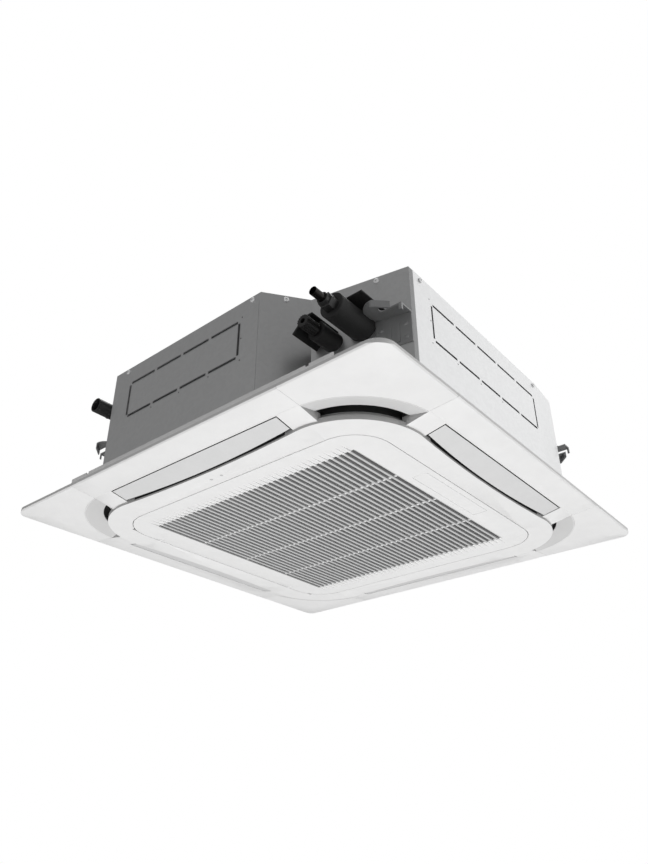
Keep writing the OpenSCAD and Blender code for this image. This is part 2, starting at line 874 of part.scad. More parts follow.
module drain_pan() {
    color("#e4e5e2") difference() {
        union() {
            layer(z_bot, sheet_t) polygon(casing_inset(base_flange + slip));
            layer(z_bot + sheet_t, pan_h - sheet_t) polygon(casing_inset(sheet_t));
        }
        layer(z_bot - cut, pan_h + 2 * cut) circle(r = pan_hole_r, $fn = round_fn);
        layer(z_bot - cut, pan_h + 2 * cut) intersection() {
            outlet_slots(duct_in, duct_out, duct_half);
            polygon(casing_inset(sheet_t + liner_t));
        }
        layer(coil_bottom, trough_d + cut) difference() {
            rounded_square(coil_half + trough_margin, coil_r + trough_margin);
            rounded_square(coil_half - coil_t - trough_margin, coil_r - coil_t - trough_margin);
        }
        translate([pump_at[0], pump_at[1], pan_top - sump_d]) cylinder(h = sump_d + cut, r = sump_r, $fn = round_fn);
        translate([float_at[0], float_at[1], pan_top - float_pit_d])
            cylinder(h = float_pit_d + cut, r = float_pit_r, $fn = round_fn);
    }
}

pump_seat = 40;
pump_body_h = 30;
can_r = 19;
can_h = 34;
volute_r = 21;
volute_bore = 15;
sump_gap = 4;
impeller_r = 12;
impeller_h = 10;
vane_t = 1.6;
spindle_r = 2;
spindle_l = 60;
port_h = 12;
hose_r = 8;
hose_bore = 6;
hose_bend = 20;
hose_off = 34;
hose_y = pump_at[1] - hose_off;
pump_plate_t = 2;
pump_plate_r = 36;
post_w = 6;

module drain_pump() {
    seat = pan_top + pump_seat;
    color("#c8cac6") difference() {
        union() {
            translate([pump_at[0], pump_at[1], seat]) cylinder(h = pump_body_h, r = pump_r, $fn = round_fn);
            translate([pump_at[0], pump_at[1], seat + pump_body_h]) cylinder(h = can_h, r = can_r, $fn = round_fn);
            translate([pump_at[0], pump_at[1], pan_top - sump_d + sump_gap])
                cylinder(h = pump_seat + sump_d - sump_gap, r = volute_r, $fn = round_fn);
            translate([-drain_x - hose_r, hose_y - hose_r, seat + pump_plate_t + slip])
                cube([2 * hose_r, -hose_y + pump_at[1] - pump_r / 2 + hose_r, port_h]);
        }
        translate([pump_at[0], pump_at[1], pan_top - sump_d + sump_gap - cut])
            cylinder(h = pump_seat + sump_d - sump_gap - pump_plate_t, r = volute_bore, $fn = round_fn);
        translate([pump_at[0], pump_at[1], pan_top - sump_d])
            cylinder(h = sump_gap + cut + impeller_h + spindle_l + slip, r = spindle_r + run_gap, $fn = pin_fn);
    }
}

module pump_bracket() {
    seat = pan_top + pump_seat;
    color("silver") difference() {
        union() {
            translate([pump_at[0], pump_at[1], seat - pump_plate_t])
                cylinder(h = pump_plate_t, r = pump_plate_r, $fn = round_fn);
            for (s = [-1, 1]) translate([pump_at[0] + s * (sump_r + post_w), pump_at[1], pan_top])
                layer(0, pump_seat - pump_plate_t + cut) square(post_w, center = true);
            layer(seat - pump_plate_t, pump_plate_t) polygon([
                pump_at + [0, pump_plate_r], pump_at - [pump_plate_r, 0],
                float_at - [float_pit_r, 0], float_at + [0, float_pit_r]]);
        }
        translate([pump_at[0], pump_at[1], pan_top - cut])
            cylinder(h = pump_seat + 2 * cut, r = volute_r + slip, $fn = round_fn);
    }
}

module pump_impeller() {
    base = pan_top - sump_d + sump_gap + cut;
    color("#dfe0dd") translate([pump_at[0], pump_at[1], base]) {
        cylinder(h = impeller_h + spindle_l, r = spindle_r, $fn = pin_fn);
        cylinder(h = vane_t, r = impeller_r, $fn = pin_fn);
        for (k = [0 : 2]) rotate([0, 0, k * 60])
            translate([-impeller_r + vane_t, -vane_t / 2, 0]) cube([2 * (impeller_r - vane_t), vane_t, impeller_h]);
    }
}

// The hose climbs from the pump, bends and meets the drain stub.
module drain_hose() {
    foot = pan_top + pump_seat + pump_plate_t + slip + port_h;
    color("#b9bcb8") {
        translate([-drain_x, hose_y, foot]) difference() {
            cylinder(h = drain_up - hose_bend - foot, r = hose_r, $fn = pin_fn);
            translate([0, 0, -cut]) cylinder(h = drain_up - hose_bend - foot + 2 * cut, r = hose_bore, $fn = pin_fn);
        }
        translate([-drain_x, hose_y - hose_bend, drain_up - hose_bend]) rotate([0, -90, 0])
            rotate_extrude(angle = 90, $fn = round_fn) translate([hose_bend, 0]) difference() {
                circle(r = hose_r, $fn = pin_fn);
                circle(r = hose_bore, $fn = pin_fn);
            }
    }
}

drain_reach = 14;
drain_end = -h - drain_reach;
drain_wall = 3;
drain_back_t = 4;
drain_stop_at = 36;
drain_stop_l = 2;
drain_stop_h = 1;

// The stub has a low ring where a hose that is pushed over it stops.
module drain_outlet() {
    back = hose_y - hose_bend;
    stop_y = drain_end + drain_stop_at;
    color(foam_colour) difference() {
        union() {
            rod_y(-drain_x, drain_up, drain_d / 2, drain_end, back);
            rod_y(-drain_x, drain_up, drain_d / 2 + drain_stop_h, stop_y, stop_y + drain_stop_l);
        }
        rod_y(-drain_x, drain_up, drain_d / 2 - drain_wall, drain_end - cut, back - drain_back_t);
        rod_y(-drain_x, drain_up, hose_bore, back - drain_back_t - cut, back + cut);
    }
}

stem_r = 3.5;
stop_r = 7;
stop_t = 2;
float_r = 12;
float_h = 18;
float_travel = 8;
switch_head = 14;

module float_switch() {
    seat = pan_top + pump_seat;
    color("#e8e8e4") translate([float_at[0], float_at[1], 0]) {
        translate([0, 0, pan_top - float_pit_d + cut]) cylinder(h = stop_t, r = stop_r, $fn = pin_fn);
        translate([0, 0, pan_top - float_pit_d + cut])
            cylinder(h = float_pit_d - cut + pump_seat - pump_plate_t, r = stem_r, $fn = pin_fn);
        translate([-switch_head / 2, -switch_head / 2, seat])
            cube([switch_head, switch_head, switch_head]);
    }
}

module float() {
    color("#f2f2ee") translate([float_at[0], float_at[1], pan_top - float_pit_d + cut + stop_t]) difference() {
        cylinder(h = float_h, r = float_r, $fn = round_fn);
        translate([0, 0, -cut]) cylinder(h = float_h + 2 * cut, r = stem_r + run_gap, $fn = pin_fn);
    }
}

// Fan and motor

motor_r = 60;
motor_h = 76;
mount_h = 4;
mount_r = 10;
mount_in = 15;
mount_at = motor_r - mount_in;
plate_over = 18;
plate_r = motor_r + plate_over;
plate_t = 2.5;
leg_w = 16;
shaft_r = 6;
shaft_in = 40;
fan_top = z_top - fan_down;
fan_bottom = z_bot + fan_up;
fan_h = fan_top - fan_bottom;
bowl_gap = 20;
bowl_floor_gap = 8;
bowl_r = motor_r + bowl_gap;
bowl_floor_r = motor_r + bowl_floor_gap;
bowl_d = 55;
fan_t = 2.5;
boss_r = 15;
boss_h = 18;
nut_r = 11;
nut_h = 8;
shroud_gap = 7;
shroud_in = throat_r + shroud_gap;
shroud_rise = 22;
blade_w = 97;
blade_in = fan_r - blade_w;
blade_sweep = 34;
blade_t = 5;
blade_steps = 8;
plate_drop = 9;
plate_top = z_top - sheet_t - plate_drop;
motor_top = plate_top - plate_t - mount_h;
hub_floor = fan_top - bowl_d;

module fan_motor() {
    color("#9a9c9e") difference() {
        translate([0, 0, motor_top - motor_h]) cylinder(h = motor_h, r = motor_r, $fn = round_fn);
        translate([0, 0, motor_top - motor_h - cut])
            cylinder(h = shaft_in + cut, r = shaft_r + run_gap, $fn = pin_fn);
    }
}

// Plate with three legs under the top plate, and the rubber mounts that the motor hangs on.
module motor_bracket() {
    color("#77797b") {
        translate([0, 0, plate_top - plate_t]) cylinder(h = plate_t, r = plate_r, $fn = round_fn);
        for (k = [0 : 2]) rotate([0, 0, k * 120]) {
            translate([plate_r - leg_w, -leg_w / 2, plate_top - plate_t])
                cube([leg_w, leg_w, z_top - sheet_t - plate_top + plate_t]);
            translate([mount_at, 0, motor_top]) cylinder(h = mount_h + cut, r = mount_r, $fn = pin_fn);
        }
    }
}

module motor_shaft() {
    color("silver") translate([0, 0, hub_floor - boss_h - nut_h])
        cylinder(h = motor_top - motor_h + shaft_in - cut - hub_floor + boss_h + nut_h, r = shaft_r, $fn = pin_fn);
}

function blade_r(t) = blade_in + (fan_r - blade_in) * t;
function blade_at(t, side) = let (r = blade_r(t), a = -blade_sweep * t,
    w = side * blade_t / 2 * (1 - t * t / 2)) [r * cos(a) - w * sin(a), r * sin(a) + w * cos(a)];

module blade() {
    polygon(concat([for (k = [0 : blade_steps]) blade_at(k / blade_steps, -1)],
        [for (k = [blade_steps : -1 : 0]) blade_at(k / blade_steps, 1)]));
}

// The fan: a back plate with a hub bowl over the motor, swept blades, and a shroud ring at the inlet.
module turbo_fan() {
    color("#e9eae8") difference() {
        union() {
            rotate_extrude($fn = round_fn) polygon([
                [shaft_r, hub_floor - fan_t], [bowl_floor_r, hub_floor - fan_t], [bowl_r + fan_t, fan_top - fan_t],
                [fan_r, fan_top - fan_t], [fan_r, fan_top], [bowl_r, fan_top], [bowl_floor_r - fan_t, hub_floor],
                [shaft_r, hub_floor]]);
            rotate_extrude($fn = round_fn) polygon([
                [shaft_r, hub_floor - boss_h], [boss_r, hub_floor - boss_h],
                [boss_r, hub_floor], [shaft_r, hub_floor]]);
            rotate_extrude($fn = round_fn) polygon([
                [shroud_in, fan_bottom], [shroud_in + fan_t, fan_bottom], [fan_r, fan_bottom + shroud_rise],
                [fan_r, fan_bottom + shroud_rise + fan_t], [shroud_in + fan_t, fan_bottom + 2 * fan_t],
                [shroud_in, fan_bottom + fan_t]]);
            layer(fan_bottom + shroud_rise, fan_h - shroud_rise - fan_t / 2)
                for (k = [0 : blade_count - 1]) rotate([0, 0, k * 360 / blade_count]) blade();
            intersection() {
                layer(fan_bottom + fan_t, shroud_rise) for (k = [0 : blade_count - 1])
                    rotate([0, 0, k * 360 / blade_count]) blade();
                rotate_extrude($fn = round_fn) polygon([
                    [0, fan_bottom + shroud_rise], [shroud_in, fan_bottom + fan_t],
                    [fan_r + cut, fan_bottom + shroud_rise], [fan_r + cut, fan_top], [0, fan_top]]);
            }
        }
        translate([0, 0, hub_floor - boss_h - cut]) cylinder(h = bowl_d, r = shaft_r + run_gap, $fn = pin_fn);
    }
}

module fan_nut() {
    color("silver") difference() {
        translate([0, 0, hub_floor - boss_h - nut_h]) cylinder(h = nut_h, r = nut_r, $fn = 6);
        translate([0, 0, hub_floor - boss_h - nut_h - cut])
            cylinder(h = nut_h + 2 * cut, r = shaft_r + run_gap, $fn = pin_fn);
    }
}

bell_over = 35;
bell_half = pan_hole_r + bell_over;
bell_t = 2;
bell_mouth_r = throat_r + bell_over;
bell_rise = 46;
bell_flare = 24;
bell_corner_r = 24;
flare_steps = 5;

// Point k of the flare, from the mouth to the throat, moved in by the plate's thickness or not at all.
function flare_point(k, in) = let (a = k * 90 / flare_steps) [
    bell_mouth_r - (bell_mouth_r - throat_r - in) * sin(a), bell_flare - (bell_flare - in) * cos(a)];

// Plate with a flared throat that leads the air into the fan.
module bell_mouth() {
    color("#e2e3e2") {
        layer(z_bot - bell_t, bell_t) difference() {
            rounded_square(bell_half, bell_corner_r);
            circle(r = bell_mouth_r, $fn = round_fn);
        }
        translate([0, 0, z_bot - bell_t]) rotate_extrude($fn = round_fn) polygon([
            [bell_mouth_r + bell_t, 0],
            for (k = [0 : flare_steps]) flare_point(k, 0),
            [throat_r, bell_rise], [throat_r + bell_t, bell_rise],
            for (k = [flare_steps : -1 : 0]) flare_point(k, bell_t),
            [bell_mouth_r + bell_t, bell_t]]);
    }
}

// Electrical parts

box_w = 340;
box_d = 90;
box_h = 36;
box_over = 25;
box_y = bell_half + box_over - box_d;
box_t = 1.2;
board_t = 1.6;
board_margin = 10;
board_up = 8;
post_r = 3;
part_shares = [[0.08, 0.2, 0.14, 0.5, 0.6], [0.3, 0.15, 0.1, 0.3, 0.85], [0.3, 0.6, 0.2, 0.25, 0.5],
    [0.55, 0.15, 0.12, 0.35, 0.7], [0.55, 0.62, 0.1, 0.2, 0.4], [0.76, 0.12, 0.18, 0.76, 0.75]];

module control_box() {
    color(steel_colour) translate([-box_w / 2, box_y, z_bot - bell_t - box_h]) difference() {
        cube([box_w, box_d, box_h]);
        translate([box_t, box_t, -cut]) cube([box_w - 2 * box_t, box_d - 2 * box_t, box_h - box_t + cut]);
    }
}

module control_box_cover() {
    color(steel_colour) translate([-box_w / 2, box_y, z_bot - bell_t - box_h - box_t]) cube([box_w, box_d, box_t]);
}

// The board hangs on posts, with its components and the terminal block facing down.
module circuit_board() {
    bw = box_w - 2 * board_margin;
    bd = box_d - 2 * board_margin;
    part_h = box_h - box_t - board_up - board_t - board_up / 2;
    z = z_bot - bell_t - box_t - board_up - board_t;
    color("#3b6b45") translate([-bw / 2, box_y + board_margin, z]) {
        cube([bw, bd, board_t]);
        for (sx = [0, 1], sy = [0, 1]) translate([mid_share(2 * post_r, bw - 2 * post_r, sx),
            mid_share(2 * post_r, bd - 2 * post_r, sy), board_t]) cylinder(h = board_up, r = post_r, $fn = pin_fn);
        for (p = part_shares) translate([bw * p[0], bd * p[1], -part_h * p[4]])
            cube([bw * p[2], bd * p[3], part_h * p[4] + board_t / 2]);
    }
}

// Ceiling panel

rim_edge = 2.5;
seam_gap = 0.4;
cover_clear = 0.2;
floor_t = 2.4;
slot_in = 35;
slot_r = band_r - slot_in;
slot_z = 2;
band_lip = 1.2;
wall_foot = 1.2;
side_duct_z = 12;
wall_t = 2.5;
seal_t = 2.5;
duct_top = panel_gap_h - seal_t;
ring_plate_t = 2.5;
opening_half = grille_half + grille_gap;
opening_r = grille_r + grille_gap;
opening_wall_h = 16;
setin_out = 11;
wall_end_in = 12;
step_in = 70;
end_drop = 8;
notch_w = 8;
notch_in = 124;
notch_d = 4;
bridge_up = 12;
bridge_t = 3;
bolt_in = 24;
bolt_at = h - bolt_in;
cup_r = 9;
cup_h = 9;
bolt_hole_r = 3;
ring_side = ring_half - ring_bow;
bow_run = ring_half - ring_r;
ring_bow_r = (bow_run * bow_run + ring_bow * ring_bow) / (2 * ring_bow);
band_centre = band_half - band_r;

// The panel's face: level with the rim at the edge and falling towards the outlets.
function face_profile(lift) = let (w = panel_w / 2 - lift, e = rim_edge) [
    [-w, rim_h + (lift > 0 ? cut : 0)], [-w, lift + e], [-w + e, lift], [-band_half, lift - skin_fall],
    [band_half, lift - skin_fall], [w - e, lift], [w, lift + e], [w, rim_h + (lift > 0 ? cut : 0)]];

module face_solid(lift) {
    intersection() {
        along_x(panel_w) polygon(face_profile(lift));
        along_y(panel_w) polygon(face_profile(lift));
        layer(-ring_drop, ring_drop + rim_h + cut) rounded_square(panel_w / 2 - lift, panel_r - lift);
    }
}

module face_slab(low, high) {
    difference() {
        face_solid(low);
        face_solid(high);
        layer(rim_h, 2 * cut) square(panel_w, center = true);
    }
}

module at_bolts(z) {
    for (sx = [-1, 1], sy = [-1, 1]) translate([sx * bolt_at, sy * bolt_at, z]) children();
}

module corner_squares(from) {
    for (sx = [0, 1], sy = [0, 1]) mirror([sx, 0]) mirror([0, sy])
        translate([from, from]) square(panel_w / 2 - from + cut);
}

module corner_zone(from, band_extra) {
    layer(-ring_drop, ring_drop + rim_h + cut) difference() {
        corner_squares(from);
        rounded_square(band_half + band_extra, band_r + band_extra);
    }
}

// The middle frame's outline, with bowed sides, drawn in by d.
module ring_outline(d) {
    difference() {
        rounded_square(ring_half - d, ring_r - d);
        for (i = [0 : 3]) rotate([0, 0, turned(i)])
            translate([0, -ring_side - ring_bow_r]) circle(r = ring_bow_r + d, $fn = bow_fn);
    }
}

// Four upright walls around the casing's lower edge, each with two notches and lower ends.
module set_in_wall() {
    out = -h - setin_out;
    end = h - wall_end_in;
    step = h - step_in;
    for (i = [0 : 3]) rotate([0, 0, turned(i)]) difference() {
        union() {
            translate([-end, out, -wall_foot]) cube([2 * end, wall_t, inner_wall_h + wall_foot - end_drop]);
            translate([-step, out, -wall_foot]) cube([2 * step, wall_t, inner_wall_h + wall_foot]);
        }
        for (s = [-1, 1]) translate([s * (h - notch_in) - notch_w / 2, out - cut, inner_wall_h - notch_d])
            cube([notch_w, wall_t + 2 * cut, notch_d + cut]);
    }
}

module side_ducts() {
    for (i = [0 : 3]) rotate([0, 0, turned(i)]) along_x(2 * bridge_to) polygon([
        [-band_half, -skin_fall], [-band_half, 0], [-side_duct_in, side_duct_z], [-side_duct_in, duct_top],
        [-side_duct_in - wall_t, duct_top], [-side_duct_in - wall_t, side_duct_z + wall_t],
        [-band_half - wall_t, wall_t], [-band_half - wall_t, -skin_fall]]);
}

// The corner outlets' outer wall: a cone from the band's edge to the slot, then an upright wall, under a roof.
module corner_ducts() {
    for (i = [0 : 3]) rotate([0, 0, turned(i)]) translate([band_centre, band_centre, 0]) {
        rotate_extrude(angle = 90, $fn = round_fn) polygon([
            [band_r, -skin_fall], [slot_r, slot_z], [slot_r, duct_top], [slot_r + wall_t, duct_top],
            [slot_r + wall_t, slot_z + wall_t], [band_r + wall_t, slot_z - wall_t],
            [band_r + wall_t, -skin_fall + skin_t - slip], [band_r + band_lip, -skin_fall + skin_t - slip],
            [band_r + band_lip, -skin_fall]]);
        difference() {
            translate([0, 0, duct_top - wall_t]) rotate_extrude(angle = 90, $fn = round_fn)
                square([slot_r + wall_t, wall_t]);
            translate([-band_centre, -band_centre, 0]) layer(duct_top - wall_t - cut, wall_t + 2 * cut)
                rounded_square(inner_duct_half - wall_t / 2, inner_duct_r - wall_t / 2);
        }
    }
}

function band_z(y) = -skin_fall - (louver_fall - skin_fall) * (band_half - y) / (band_half - louver_in);

// The bridges: a face in line with the louvers, on two upright cheeks.
module bridges() {
    end_y = louver_in - louver_bow / 2;
    for (i = [0 : 3], s = [0, 1]) rotate([0, 0, turned(i)]) mirror([s, 0, 0]) {
        translate([bridge_from + bridge_w / 2, 0, 0]) along_x(bridge_w) polygon([
            [-band_half - wall_t, -skin_fall], [-band_half, -skin_fall], [-end_y, band_z(end_y)],
            [-end_y, band_z(end_y) + bridge_t], [-band_half - wall_t, -skin_fall + bridge_t]]);
        for (x = [bridge_from, bridge_to - bridge_t]) translate([x + bridge_t / 2, 0, 0]) along_x(bridge_t) polygon([
            [-band_half, -skin_fall], [-end_y, band_z(end_y)],
            [-end_y, bridge_up], [-band_half + bridge_t, bridge_up]]);
    }
}

module middle_frame() {
    layer(-ring_drop, ring_plate_t) difference() {
        ring_outline(0);
        rounded_square(opening_half, opening_r);
    }
    layer(-ring_drop, ring_lip) difference() {
        ring_outline(0);
        ring_outline(wall_t);
    }
    layer(-ring_drop + ring_lip - wall_t, wall_t) difference() {
        ring_outline(0);
        rounded_square(inner_duct_half - wall_t, inner_duct_r - wall_t);
    }
    layer(-ring_drop + ring_lip - wall_t, duct_top + ring_drop - ring_lip + wall_t) difference() {
        rounded_square(inner_duct_half, inner_duct_r);
        rounded_square(inner_duct_half - wall_t, inner_duct_r - wall_t);
    }
    layer(-ring_drop, opening_wall_h) difference() {
        rounded_square(opening_half + wall_t, opening_r + wall_t);
        rounded_square(opening_half, opening_r);
    }
}

// Grille hinge ears on the left side of the opening, level with the frame's face.
hinge_r = 1.5;
hinge_in = 8.5;
hinge_up = 2.5;
hinge_x = -grille_half + hinge_in;
hinge_z = -ring_drop + hinge_up;
ear_t = 6;
ear_in = 112.5;
ear_at = grille_half - ear_in;
ear_gap = 0.5;

module hinge_ears() {
    for (s = [-1, 1]) translate([0, s * ear_at, 0]) difference() {
        union() {
            translate([-opening_half - wall_t / 2, -ear_t / 2, -ring_drop])
                cube([opening_half + wall_t / 2 + hinge_x, ear_t, opening_wall_h]);
            rod_y(hinge_x, hinge_z, hinge_up, -ear_t / 2, ear_t / 2);
        }
        rod_y(hinge_x, hinge_z, hinge_r + run_gap, -ear_t / 2 - cut, ear_t / 2 + cut);
    }
}

// Hollows in the opening's edge, where the grille's round corners turn out over the hinge line.
relief_r = 3.8;
relief_from = 14;
relief_to = 44;

module hinge_reliefs() {
    start = grille_half - grille_r;
    for (s = [0, 1]) mirror([0, s, 0]) rod_y(hinge_x, hinge_z, relief_r, start + relief_from, start + relief_to);
}

lamp_x = [-12, 15];
lamp_in = 33.5;
lamp_y = -ring_half + lamp_in;
lamp_r = 3;

module panel_frame() {
    color(panel_colour) at_rim() difference() {
        union() {
            difference() {
                face_slab(0, skin_t);
                layer(-ring_drop, 2 * ring_drop) rounded_square(band_half, band_r);
                corner_zone(cover_from, -cut);
            }
            difference() {
                intersection() {
                    face_slab(cover_t + cover_clear, cover_t + cover_clear + floor_t);
                    corner_zone(cover_from - 2 * floor_t, band_lip);
                }
                at_bolts(-ring_drop) cylinder(h = 2 * ring_drop, r = cup_r, $fn = pin_fn);
            }
            at_bolts(-skin_fall + cover_t + cover_clear) difference() {
                cylinder(h = cup_h, r = cup_r + floor_t, $fn = pin_fn);
                translate([0, 0, -cut]) cylinder(h = cup_h - floor_t + cut, r = cup_r, $fn = pin_fn);
            }
            set_in_wall();
            side_ducts();
            corner_ducts();
            bridges();
            middle_frame();
            hinge_ears();
        }
        at_bolts(-ring_drop) cylinder(h = 2 * ring_drop, r = bolt_hole_r, $fn = pin_fn);
        hinge_reliefs();
        for (i = [0 : 3]) rotate([0, 0, turned(i)]) translate([0, -pivot_y, pivot_z]) rotate([0, 90, 0])
            cylinder(h = 2 * (bridge_from + bridge_t + cut), r = pivot_r + run_gap, $fn = pin_fn, center = true);
        for (x = lamp_x) translate([x, lamp_y, -ring_drop - cut])
            cylinder(h = ring_plate_t + 2 * cut, r = lamp_r + slip / 2, $fn = pin_fn);
    }
}

seal_over = 1;

// Foam strips on the duct walls, squeezed against the casing.
module panel_seal() {
    color("#5a5c5e") at_rim() layer(duct_top, panel_gap_h - duct_top) intersection() {
        union() {
            difference() {
                rounded_square(inner_duct_half + seal_over, inner_duct_r + seal_over);
                rounded_square(inner_duct_half - wall_t, inner_duct_r - wall_t);
            }
            for (i = [0 : 3]) rotate([0, 0, turned(i)])
                translate([-duct_half, -side_duct_in - wall_t]) square([2 * duct_half, wall_t]);
        }
        polygon(casing_points);
    }
}

foot_w = 34;
foot_t = 2;
foot_over = 10;
foot_in = 6;

// Four feet under the casing's corners, which the panel's bolts screw into.
module panel_brackets() {
    z = z_bot - foot_t;
    reach = (bolt_at + foot_over) * sqrt(2);
    color(steel_colour) difference() {
        union() {
            for (p = [[1, 1, far_cut_sum], [-1, 1, straight_cut_sum], [-1, -1, straight_cut_sum]])
                mirror([p[0] < 0 ? 1 : 0, 0, 0]) mirror([0, p[1] < 0 ? 1 : 0, 0]) rotate([0, 0, 45])
                    translate([p[2] / sqrt(2) - foot_in, -foot_w / 2, z])
                        cube([reach - p[2] / sqrt(2) + foot_in, foot_w, foot_t]);
            layer(z, foot_t) translate([bolt_at - foot_w / 2, -bolt_at - foot_over])
                square([foot_w / 2 + h - bolt_at - slip, bolt_at + foot_over - h + recess_end + foot_in]);
        }
        at_bolts(z - cut) cylinder(h = foot_t + 2 * cut, r = bolt_hole_r, $fn = pin_fn);
    }
}

bolt_r = 2.5;
bolt_head_r = 6;
bolt_head_h = 4;
bolt_nut_h = 5;
bolt_nut_r = 5;

module panel_bolts() {
    seat = -skin_fall + cover_t + cover_clear + cup_h - floor_t;
    color("silver") at_rim() at_bolts(seat) {
        translate([0, 0, -bolt_head_h]) cylinder(h = bolt_head_h, r = bolt_head_r, $fn = 6);
        cylinder(h = panel_gap_h - seat + bolt_nut_h, r = bolt_r, $fn = pin_fn);
        translate([0, 0, panel_gap_h - seat]) cylinder(h = bolt_nut_h, r = bolt_nut_r, $fn = 6);
    }
}

module corner_covers() {
    color(panel_colour) at_rim() intersection() {
        face_slab(0, cover_t);
        corner_zone(cover_from + seam_gap, band_lip + seam_gap);
    }
}

// Louvers

pivot_z = -4;
louver_out = band_half - louver_gap;
louver_half = louver_l / 2;
louver_bow_r = (louver_half * louver_half + louver_bow * louver_bow) / (2 * louver_bow);
hub_r = 5;
hub_t = 4;
pin_short = 7;
pin_long = 14;

// One louver on the front side. Its pins turn in the bridges' cheeks, and the longer one goes into its motor.
module louver() {
    low_out = -skin_fall - slip;
    low_in = -louver_fall;
    at_rim() {
        intersection() {
            along_x(louver_l) polygon([
                [-louver_out, low_out], [-louver_in, low_in], [-louver_in, low_in + louver_t],
                [-louver_out, low_out + louver_t]]);
            translate([0, -louver_in - louver_bow_r, -2 * ring_drop])
                cylinder(h = 4 * ring_drop, r = louver_bow_r, $fn = bow_fn);
        }
        for (s = [-1, 1]) translate([s * (louver_half - hub_t / 2), -pivot_y, pivot_z])
            rotate([0, 90, 0]) cylinder(h = hub_t, r = hub_r, $fn = pin_fn, center = true);
        translate([-louver_half - pin_short, -pivot_y, pivot_z]) rotate([0, 90, 0])
            cylinder(h = louver_l + pin_short + pin_long, r = pivot_r, $fn = pin_fn);
    }
}

module louver_1() {
    color(louver_colour) louver();
}

module louver_2() {
    color(louver_colour) rotate([0, 0, 90]) louver();
}

module louver_3() {
    color(louver_colour) rotate([0, 0, 180]) louver();
}

module louver_4() {
    color(louver_colour) rotate([0, 0, 270]) louver();
}

step_r = 12;
step_l = 18;
step_offset = 8;

// Four geared stepper motors, each inside a bridge at the end of its louver.
module louver_motors() {
    color("#a9abad") at_rim() for (i = [0 : 3]) rotate([0, 0, turned(i)])
        translate([bridge_from + bridge_t, -pivot_y, pivot_z]) rotate([0, 90, 0]) difference() {
            translate([-step_offset, 0, 0]) cylinder(h = step_l, r = step_r, $fn = round_fn);
            translate([0, 0, -cut]) cylinder(h = pin_long, r = pivot_r + run_gap, $fn = pin_fn);
        }
}

board_l = 60;
lamp_board_w = 22;

module status_lamps() {
    color("#dfe4e2") at_rim() for (x = lamp_x) translate([x, lamp_y, -ring_drop])
        cylinder(h = ring_plate_t, r = lamp_r, $fn = pin_fn);
}

module lamp_board() {
    color("#3b6b45") at_rim()
        translate([-board_l / 2, lamp_y - lamp_board_w / 2, -ring_drop + ring_plate_t])
            cube([board_l, lamp_board_w, board_t]);
}

// Intake grille

edge_t = 2;
edge_h = 8;
zone_half_x = gap_count * gap_pitch / 2 + gap_w / 2;
zone_half_y = gap_half + rib_w;
groove_d = 2.5;
rib_recess = 2;
latch_in = 28.5;
latch_x = grille_half - latch_in;
latch_gap = 0.6;
latch_t = 1.8;
latch_well_d = 4.6;
latch_well_floor = 2;
latch_stem_in = 30.5;
latch_stem_y = latch_l / 2 - latch_stem_in;
latch_stem_w = 10;
latch_stem_d = 6;
latch_up = 12;
tongue_t = 3;
tongue_gap = 0.5;
ear_notch_d = 12;
block_w = 11;
block_h = 4.5;
block_out = 3;

module grille_gaps() {
    bay = (2 * gap_half + rib_w) / (rib_count + 1);
    for (k = [0 : gap_count - 1]) translate([(k - (gap_count - 1) / 2) * gap_pitch, 0, -ring_drop]) {
        along_x(gap_w) polygon([
            [-gap_half - gap_ramp, 0], [-gap_half, groove_d], [gap_half, groove_d], [gap_half + gap_ramp, 0],
            [gap_half + gap_ramp, -cut], [-gap_half - gap_ramp, -cut]]);
        for (b = [0 : rib_count]) translate([-gap_w / 2, -gap_half + b * bay, rib_recess])
            cube([gap_w, bay - rib_w, slat_h]);
    }
}

// Two blocks beside each of the frame's ears, with the hinge pin through both and the ear.
module hinge_blocks() {
    side = ear_t / 2 + ear_gap;
    for (s = [-1, 1]) translate([0, s * ear_at, 0]) {
        for (t = [0, 1]) mirror([0, t, 0]) translate([hinge_x - block_out, side, hinge_z - hinge_r])
            cube([block_w, ear_t, block_h]);
        rod_y(hinge_x, hinge_z, hinge_r, -side - ear_t, side + ear_t);
    }
}

module intake_grille() {
    face = -ring_drop;
    well = [latch_w + 2 * latch_gap, latch_l + 2 * latch_gap];
    stem = [latch_stem_w + 2 * latch_gap, latch_stem_d + 2 * latch_gap];
    color(panel_colour) at_rim() {
        difference() {
            union() {
                layer(face, grille_t) rounded_square(grille_half, grille_r);
                layer(face, edge_h) difference() {
                    rounded_square(grille_half, grille_r);
                    rounded_square(grille_half - edge_t, grille_r - edge_t);
                }
                layer(face, slat_h) square([2 * (zone_half_x + rib_w), 2 * zone_half_y], center = true);
                layer(face, latch_well_d + latch_well_floor) translate([latch_x, 0])
                    square(well + 2 * [edge_t, edge_t], center = true);
            }
            grille_gaps();
            layer(face - cut, latch_well_d + cut) translate([latch_x, 0]) square(well, center = true);
            for (s = [-1, 1]) layer(face, latch_well_d + latch_well_floor + cut)
                translate([latch_x, s * latch_stem_y]) square(stem, center = true);
            for (s = [-1, 1]) layer(face - cut, edge_h + 2 * cut) translate([-grille_half, s * ear_at])
                square([2 * ear_notch_d, ear_t + 2 * ear_gap], center = true);
        }
        hinge_blocks();
    }
}

